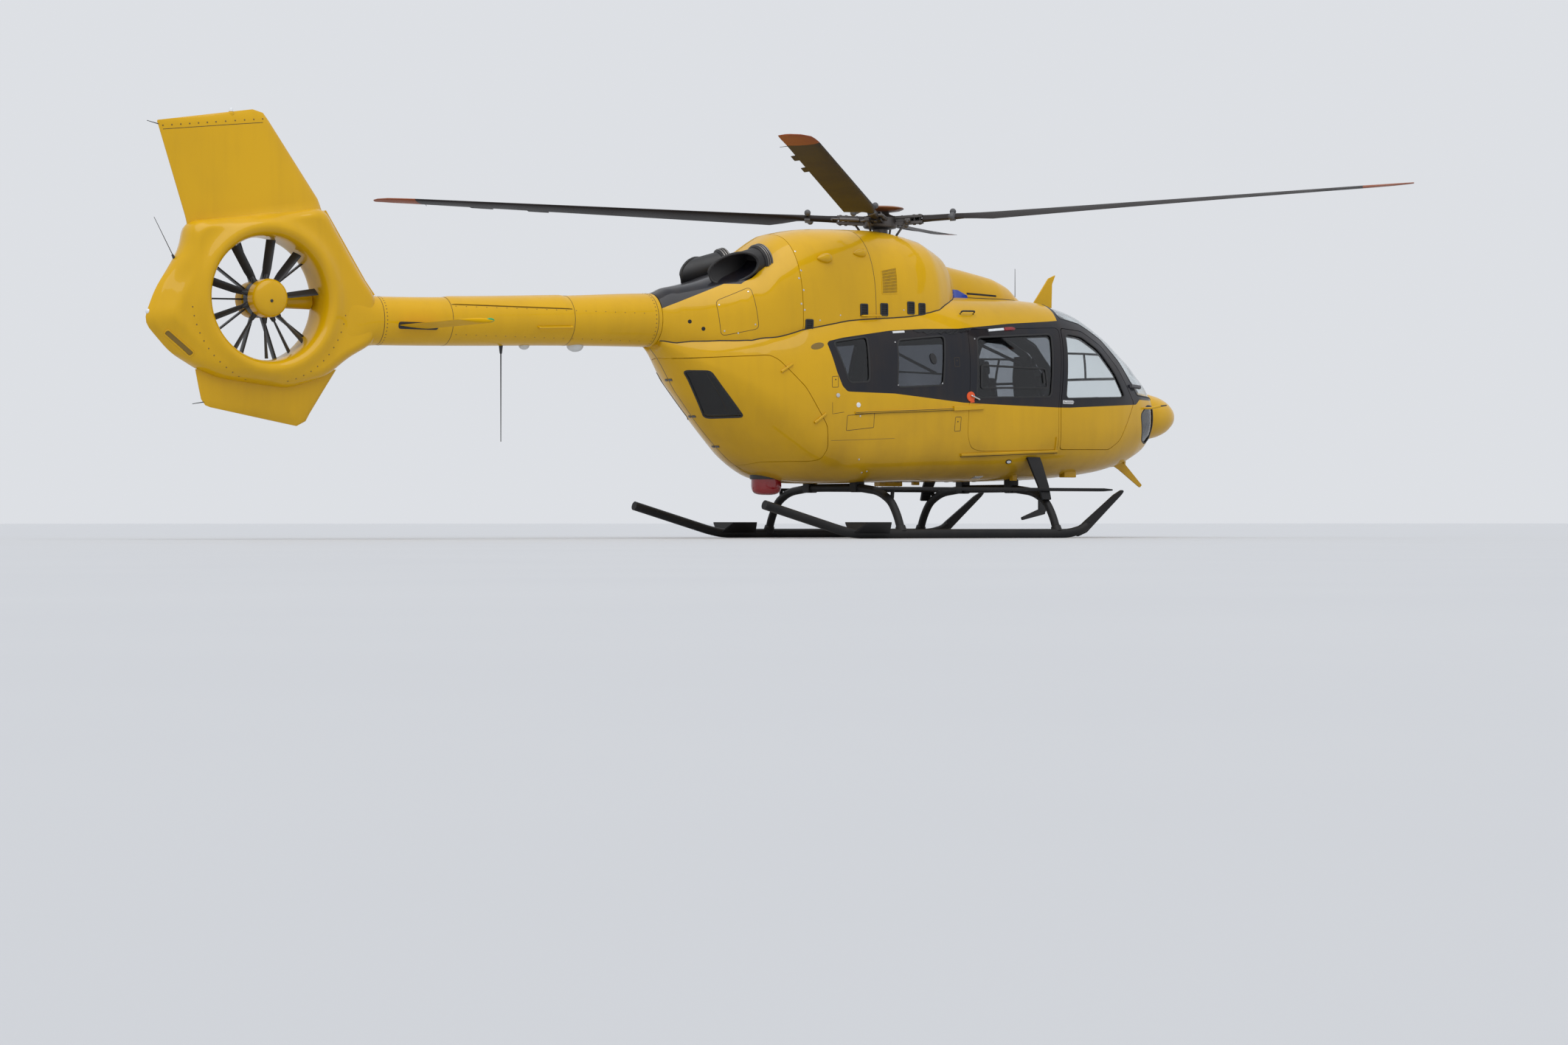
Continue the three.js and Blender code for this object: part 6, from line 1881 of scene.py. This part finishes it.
cover_rings, edge_lines = [], [[], []]
for x in np.linspace(SHAFT_COVER["rear"], SHAFT_COVER["front"], 30):
    low = boom_angle_at(x, SHAFT_COVER["z"])
    angles = np.linspace(low, np.pi - low, 25)
    ends = min(x - SHAFT_COVER["rear"], SHAFT_COVER["front"] - x) / 0.02
    proud = SHAFT_COVER["proud"] * min(1.0, 0.2 + ends)
    top = on_boom(np.full(25, x), angles, proud)[0]
    bottom = on_boom(np.full(25, x), angles[::-1], -0.004)[0]
    cover_rings.append(np.concatenate([top, bottom]))
    edge_lines[0].append(on_boom(x, low - 0.02))
    edge_lines[1].append(on_boom(x, np.pi - low + 0.02))
piece("shaft_cover", lofted(cover_rings), yellow_paint, "yellow_composite")
tail_seams = []
for line in edge_lines:
    points, normals = (np.array(part) for part in zip(*line))
    tail_seams.append(ribbon(points, normals, 0.006, 0.0008))
for x in (-2.905, -3.86, -5.21, -5.93):
    tail_seams.append(ribbon(*on_boom(np.full(64, x), turns_of(64)), *SEAM, True))
rivets = []
for x in (-2.93, -5.9):
    rivets.append(domes(*on_boom(np.full(40, x), np.arange(40) * np.pi / 20), 0.007, 0.3, 6))
for z in (2.232, 1.96):
    for mirror in (0, 1):
        x = np.arange(-5.16, -2.96, 0.11)
        angles = boom_angle_at(x, z)
        rivets.append(domes(*on_boom(x, np.pi - angles if mirror else angles), 0.006, 0.3, 6))
white_paint = weathered_and_shaded(
    "white_paint", (0.62, 0.63, 0.62, 1), (0.3, 0.25, 0.16, 1), 0.35, (0.4, 0.2, 0.5),
)
DOMES = [(-3.72, 1.9, (0.088, 0.068, 0.06)), (-4.3, 1.886, (0.056, 0.042, 0.04))]
shells = [ball((x, 0, z), radii, 14, 28) for x, z, radii in DOMES]
piece("boom_domes", shells, white_paint, "yellow_composite")
boom_skin = surface_of([boom_tube])
grab = [loop_handle(boom_skin, [(-4.27, 2.06), (-3.9, 2.075)], 0.034, 0.009, 0.5)]
piece("boom_handles", both(grab), yellow_paint, "yellow_paint")

shroud_skin = surface_of([ring_form, fin, keel_fin])
CAP = np.array([(-8.115, 3.79), (-7.6, 3.853), (-7.12, 3.912)])
rivets.append(both([studs(shroud_skin, CAP, 0.009, 0.25, 0.098)]))
tail_seams.append(both([strip(shroud_skin, CAP - (0, 0.034), 0.005)]))
arc = np.radians(np.arange(188, 352, 6))
rim = columns(np.cos(arc), np.sin(arc)) * 0.79 + (FAN["x"], FAN["z"])
rim = rim[rim[:, 1] > 1.47]
rivets.append(both([studs(shroud_skin, rim, 0.008, 0.25)]))
SLOT = rounded([(-8.142, 1.886), (-7.89, 1.676), (-7.858, 1.714), (-8.11, 1.924)], 0.024, 0.01)
# The slots are flat dark olive covers: painted shade in the recessed slots.
piece("shroud_slot_shade", both([cover(shroud_skin, SLOT, 0.0015)]), painted_shade, "yellow_composite")
slot_rims = [strip(shroud_skin, SLOT, 0.012, 0.008, True)]
front_edge = spaced([(-6.49, 3.085), (-6.075, 2.44), (-5.975, 2.31)], 0.05)
edge_points = columns(front_edge[:, 0], 0.0, front_edge[:, 1])
edge_out = np.array([0.84, 0.0, 0.54])
edge_strip = ribbon(edge_points - edge_out * 0.004, edge_out, 0.1, 0.022)
piece("shroud_strips", [both(slot_rims), edge_strip], yellow_paint, "yellow_composite")
piece("tail_seams", tail_seams, seam_dark, "black_composite")
olive_rivet = weathered_and_shaded("rivet_brown", (0.16, 0.09, 0.012, 1), GRIME_AND_SHADE, 0.5, (0.4, 0.2, 0.2))
piece("tail_rivets", rivets, olive_rivet, "black_composite")
dark_rods = [
    rod((-4.56, 0, 1.9), (-4.56, 0, 0.945), 0.007, 0.004, 8),
    rod((-4.56, 0, 1.9), (-4.56, 0, 1.8), 0.022, 0.012, 12),
    rod((-8.0, 0, 2.58), (-8.02, 0, 2.615), 0.014, 0.01, 10),
    rod((-8.01, 0, 2.6), (-8.2, 0, 2.95), 0.004, 0.0025, 6),
    rod((-8.13, 0, 3.796), (-8.27, 0, 3.826), 0.005, 0.003, 6),
    rod((-7.7, 0, 1.27), (-7.82, 0, 1.25), 0.005, 0.003, 6),
]
piece("tail_whips", dark_rods, black_composite, "black_paint")
FIN_BEACON = (-7.43, 0, 0)
lights = [
    turned([
        (0.024, -0.02), (0.026, 0.0), (0.024, 0.012), (0.014, 0.0205), (0.003, 0.022),
    ], (-8.2585, 0, 2.085), (-1, 0, 0), 20),
    turned([(0.019, 3.95), (0.02, 3.985), (0.014, 3.996), (0.003, 3.998)], FIN_BEACON, sides=20),
]
# A short black plug in the fan's cap: painted shade where its bore is.
bore_shade = rod(
    (FAN["x"] - 0.01, -0.2, FAN["z"] - 0.03), (FAN["x"] - 0.01, -0.2415, FAN["z"] - 0.03), 0.016,
    0.016,
)
piece("fan_cap_bore_shade", bore_shade, black_composite, "black_composite", body="fan_rotor")
piece("tail_lights", lights, white_lens, "glazing")
beacon_foot = [turned([
    (0.032, 3.9), (0.033, 3.945), (0.024, 3.952), (0.024, 3.962),
], FIN_BEACON, sides=20)]
piece("fin_beacon_foot", beacon_foot, yellow_paint, "yellow_paint")
# Position lights at the stabilizer's tips, and the dark sealed joint at its roots
tip_at = (STABILIZER["lead"] - 0.05, 0.014 - STABILIZER["tip"], STABILIZER["z"] + 0.006)
tip = ball(tip_at, (0.045, 0.013, 0.02))
green_tints = clouded(9.0, (0.01, 0.25, 0.06, 1), (0.02, 0.4, 0.1, 1))
green_lens = finish("green_lens", green_tints, 0.15)
piece("tip_light_right", tip, green_lens, "glazing")
piece("tip_light_left", mirrored(tip), lamp_red, "lamp_red")
root_seal = cover(boom_skin, box_round(-5.575, 2.03, 0.42, 0.068, 0.03, 0.03), 0.003)
piece("stabilizer_seals", both([root_seal]), black_composite, "black_composite")


# Fittings on the nose: the dome's dark seam and its bright screws, the bulkhead that closes the
# cabin behind it, the probe arms with their tubes, and a bracket at the windscreen's foot.
seam_profile = [(0.257, -0.004), (0.2625, -0.002), (0.2625, 0.004), (0.257, 0.006)]
dome_seam = turned(seam_profile, (3.43, 0, DOME_HEIGHT), (1, 0, 0), 64)
piece("dome_seam", dome_seam, seam_dark, "black_composite")
bulkhead = [(0.002, 3.3715), (0.252, 3.3715), (0.256, 3.3735), (0.256, 3.3785), (0.002, 3.3785)]
bulkhead = turned(bulkhead, (0, 0, DOME_HEIGHT), (1, 0, 0), 64)
piece("nose_bulkhead", bulkhead, lining_finish, "floor_lining")
screws = np.radians(np.arange(12) * 30 + 15)
dome_screws = domes(
    columns(3.455, 0.2595 * np.cos(screws), DOME_HEIGHT + 0.2595 * np.sin(screws)),
    columns(0.0, np.cos(screws), np.sin(screws)), 0.007, 0.3,
)
piece("dome_screws", dome_screws, silver, "engine_metal")
probes = []
for way in (1, -1):
    base = np.array([3.1, way * 0.545, 1.4])
    arm = [base, base + (0.06, way * 0.07, -0.005), base + (0.2, way * 0.085, 0.02)]
    probes.append(swept(eased(arm, 0.04), circle(0.012, 12), (0, 0, 1)))
piece("probe_arms", probes, yellow_paint, "yellow_paint")
tubes = []
for way in (1, -1):
    base = np.array([3.29, way * 0.63, 1.42])
    tubes.append(rod(base, base + (0.1, 0, 0.012), 0.009, 0.006))
piece("probe_tubes", tubes, black_composite, "engine_metal")
grey_bracket = [strip(hull, [(2.867, 1.63), (3.01, 1.615)], 0.035, 0.03)]
piece("nose_brackets", both(grey_bracket), lead_grey, "engine_metal")


# Rotor fittings: steel lag dampers and bolts at the hub, and trim tabs and static wicks of thin
# sheet and wire bonded behind the blades.
dampers, tabs = [], []
for turn in BLADE_TURNS:
    parts = [
        rod((0.2, 0.085, 0.004), (0.42, 0.075, 0.004), 0.022, 0.022, 14),
        rod((0.42, 0.075, 0.004), (0.5, 0.066, 0.006), 0.011, 0.011, 10),
        rod((0.5, 0.03, 0.0), (0.5, 0.09, 0.0), 0.014, 0.014, 10),
        rod((0.19, 0.04, 0.002), (0.19, 0.1, 0.002), 0.016, 0.016, 10),
        rod((0.3, -0.16, -0.03), (0.3, -0.1, -0.02), 0.014, 0.014, 10),
    ]
    for x in (0.16, 0.24, 0.36, 0.42):
        parts.append(rod((x, 0.048, 0.038), (x, 0.048, 0.05), 0.009, 0.009, 6))
        parts.append(rod((x, -0.048, 0.038), (x, -0.048, 0.05), 0.009, 0.009, 6))
    dampers += [blade_form(form, turn) for form in parts]
    for near, far in ((3.6, 3.83), (4.21, 4.46)):
        rows = []
        for r in (near, near + 0.01, far - 0.01, far):
            pitch = np.interp(r, BLADE[:, 0], BLADE[:, 4])
            back = 0.046 if near < r < far else 0.038
            ring = np.array([
                (r, -0.222, 0.0025), (r, -0.23 - back, 0.0008), (r, -0.23 - back, -0.0008),
                (r, -0.222, -0.0025),
            ])
            rows.append(pitched(ring, pitch))
        tabs.append(blade_form(lofted(rows), turn))
    wick, faces = rod((4.95, -0.22, 0), (4.955, -0.3, -0.004), 0.003, 0.002, 6)
    tabs.append(blade_form((pitched(wick, 5), faces), turn))
piece("rotor_dampers", dampers, steel, "engine_metal", body="main_rotor")
piece("blade_tabs", tabs, blade_paint, "blade_composite", body="main_rotor")


# Interior seen through the glass: floor, engines, gearbox; seats with padded covers on thin
# shells; a stretcher with its pad; the instrument panel with blank screens; sticks and pedals.
lining = weathered_and_shaded(
    "floor_lining", (0.13, 0.135, 0.14, 1), (0.06, 0.055, 0.05, 1), 0.7, (0.6, 0.0, 0.0),
)
metal = weathered_and_shaded(
    "engine_metal", (0.35, 0.34, 0.33, 1), (0.1, 0.08, 0.06, 1), 0.45, (0.6, 0.2, 0.0),
    metallic=0.9,
)
panel_black = weathered_and_shaded(
    "panel_black", (0.02, 0.021, 0.023, 1), (0.05, 0.05, 0.05, 1), 0.55, (0.4, 0.0, 0.0),
)
cloth = weathered_and_shaded(
    "seat_cloth", (0.03, 0.035, 0.045, 1), (0.06, 0.06, 0.065, 1), 0.85, (0.6, 0.0, 0.0),
    bump=0.002,
)
for node_name, material in (
    ("cabin_floor", lining), ("main_gearbox", metal), ("engine_left", metal),
    ("engine_right", metal),
):
    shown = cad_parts[node_name]
    shown.data.materials.clear()
    shown.data.materials.append(material)

FLOOR = 0.8703


def pad(width, length, thick, channels=(), lean=0.0, at=(0, 0, 0), count=36):
    """A cushion: a crowned top and a flatter bottom over a rounded rectangle whose sides pull in
    between its corners. Sewn channels across it are shallow dips. It leans back about Y."""
    s = np.sin(np.linspace(-np.pi / 2, np.pi / 2, count))
    u, v = np.meshgrid(s, s, indexing="ij")
    round_u = u * np.sqrt(1 - 0.12 * v**2 * v**2)
    round_v = v * np.sqrt(1 - 0.12 * u**2 * u**2)
    x = round_u * length / 2 * (1 - 0.03 * (1 - v**2))
    y = round_v * width / 2 * (1 - 0.03 * (1 - u**2))
    crown = ((1 - u**6) * (1 - v**6)) ** 0.4 * (1 - 0.18 * (u**2 + v**2))
    dip = sum(0.16 * np.exp(-(((u - c) / 0.06) ** 2)) for c in channels) + 0 * u
    top = thick * 0.6 * crown * (1 - dip)
    low = -thick * 0.4 * ((1 - u**6) * (1 - v**6)) ** 0.3
    z = np.concatenate([top.ravel(), low.ravel()])
    points = columns(np.tile(x.ravel(), 2), np.tile(y.ravel(), 2), z)
    faces = grid_faces(count, count, closed_columns=False)
    upper, lower = faces, faces[:, ::-1] + count * count
    points, faces = welded((points, [np.concatenate([upper, lower])]))
    c, s = np.cos(lean), np.sin(lean)
    x, y, z = points.T
    return outward((columns(x * c - z * s, y, x * s + z * c) + at, faces))


SEATS = [
    ("pilot_seat_right", 1.95, -0.4), ("pilot_seat_left", 1.95, 0.4), ("cabin_seat", 0.55, 0.38),
]
LEAN = np.radians(99)  # of the backs
width, pan = 0.46, 1.15  # of a seat, and the height of its pan
for name, x, y in SEATS:
    pads = [
        pad(width - 0.05, 0.42, 0.09, (-0.3, 0.3), np.radians(4), (x + 0.01, y, pan + 0.035)),
        pad(width - 0.06, 0.5, 0.08, (-0.4, 0.1, 0.5), LEAN, (x - 0.24, y, 1.48)),
        pad(0.24, 0.15, 0.08, (), LEAN, (x - 0.3, y, 1.83)),
    ]
    cushions = piece(f"{name}_pads", pads, cloth, "seat_cover")
    frame_parts = [
        box_form(
            (x - 0.23, y - width / 2 + 0.01, pan - 0.045), (x + 0.21, y + width / 2 - 0.01, pan),
            0.015,
        ),
        box_form((x - 0.18, y - 0.15, FLOOR), (x + 0.18, y - 0.12, pan - 0.04), 0.008),
        box_form((x - 0.18, y + 0.12, FLOOR), (x + 0.18, y + 0.15, pan - 0.04), 0.008),
        box_form((x - 0.2, y - 0.17, FLOOR), (x + 0.2, y - 0.1, FLOOR + 0.02), 0.006),
        box_form((x - 0.2, y + 0.1, FLOOR), (x + 0.2, y + 0.17, FLOOR + 0.02), 0.006),
    ]
    shell_rings = []
    for dx, z, half in (
        (-0.265, pan - 0.04, 0.2), (-0.3, 1.3, 0.21), (-0.36, 1.7, 0.19), (-0.385, 1.92, 0.13),
    ):
        shell_rings.append([
            (x + dx, y - half, z), (x + dx, y + half, z), (x + dx + 0.018, y + half, z),
            (x + dx + 0.018, y - half, z),
        ])
    frame_parts.append(lofted(np.array(shell_rings)))
    piece(f"{name}_frame", frame_parts, panel_black, "seat_cover", name)

mattress = piece("stretcher_pad", pad(
    0.44, 1.84, 0.07, (-0.45, 0.1, 0.55), 0.0, (-0.2, -0.18, 1.078), 48,
), cloth, "stretcher_cover")
tray = [
    rod((-1.14, -0.41, 1.035), (0.74, -0.41, 1.035), 0.013),
    rod((-1.14, 0.05, 1.035), (0.74, 0.05, 1.035), 0.013),
    box_form((-1.13, -0.4, 1.022), (0.73, 0.04, 1.036), 0.005),
]
for x in (-1.13, -0.6, 0.0, 0.6, 0.73):
    tray.append(rod((x, -0.41, 1.03), (x, 0.05, 1.03), 0.011))
for x in (-0.89, -0.71, 0.31, 0.49):
    tray.append(rod((x, -0.33, FLOOR), (x, -0.33, 1.03), 0.014))
    tray.append(rod((x, -0.03, FLOOR), (x, -0.03, 1.03), 0.014))
piece("stretcher_tray", tray, metal, "engine_metal", "stretcher")

coaming = [
    plate([
        (2.62, 1.2), (2.62, 1.47), (2.6, 1.505), (2.68, 1.52), (2.755, 1.49), (2.755, 1.2),
    ], -0.325, 0.325, 0.02),
    plate([
        (2.39, FLOOR), (2.4, 1.06), (2.62, 1.235), (2.69, 1.235), (2.69, FLOOR),
    ], -0.105, 0.105, 0.02),
]
piece("panel_coaming", coaming, panel_black, "black_composite", "instrument_panel")
screens = [box_form(
    (2.611, y - 0.09, 1.255), (2.621, y + 0.09, 1.45), 0.003,
) for y in (-0.21, 0.0, 0.21)]
screen_tints = clouded(4.0, (0.006, 0.008, 0.01, 1), (0.014, 0.017, 0.02, 1))
screen_glass = finish("screen_glass", screen_tints, 0.1)
piece("panel_screens", screens, screen_glass, "glazing")
controls = []
for y in (-0.4, 0.4):
    stick = eased([(2.4, y, FLOOR), (2.42, y, 1.1), (2.35, y, 1.24), (2.33, y, 1.34)], 0.06)
    controls.append(swept(stick, circle(0.013, 10), (0, 1, 0)))
    controls.append(ball((2.328, y, 1.36), (0.022, 0.022, 0.042)))
    lever = eased([(1.78, y + 0.26, 0.95), (2.02, y + 0.26, 1.08), (2.13, y + 0.26, 1.15)], 0.05)
    controls.append(swept(lever, circle(0.016, 10), (0, 1, 0)))
    for pedal in (-0.1, 0.1):
        controls.append(box_form(
            (2.62, y + pedal - 0.05, FLOOR + 0.04), (2.64, y + pedal + 0.05, FLOOR + 0.18), 0.006,
        ))
        controls.append(rod((2.63, y + pedal, FLOOR), (2.63, y + pedal, FLOOR + 0.06), 0.01))
piece("pilot_controls", controls, panel_black, "black_composite")
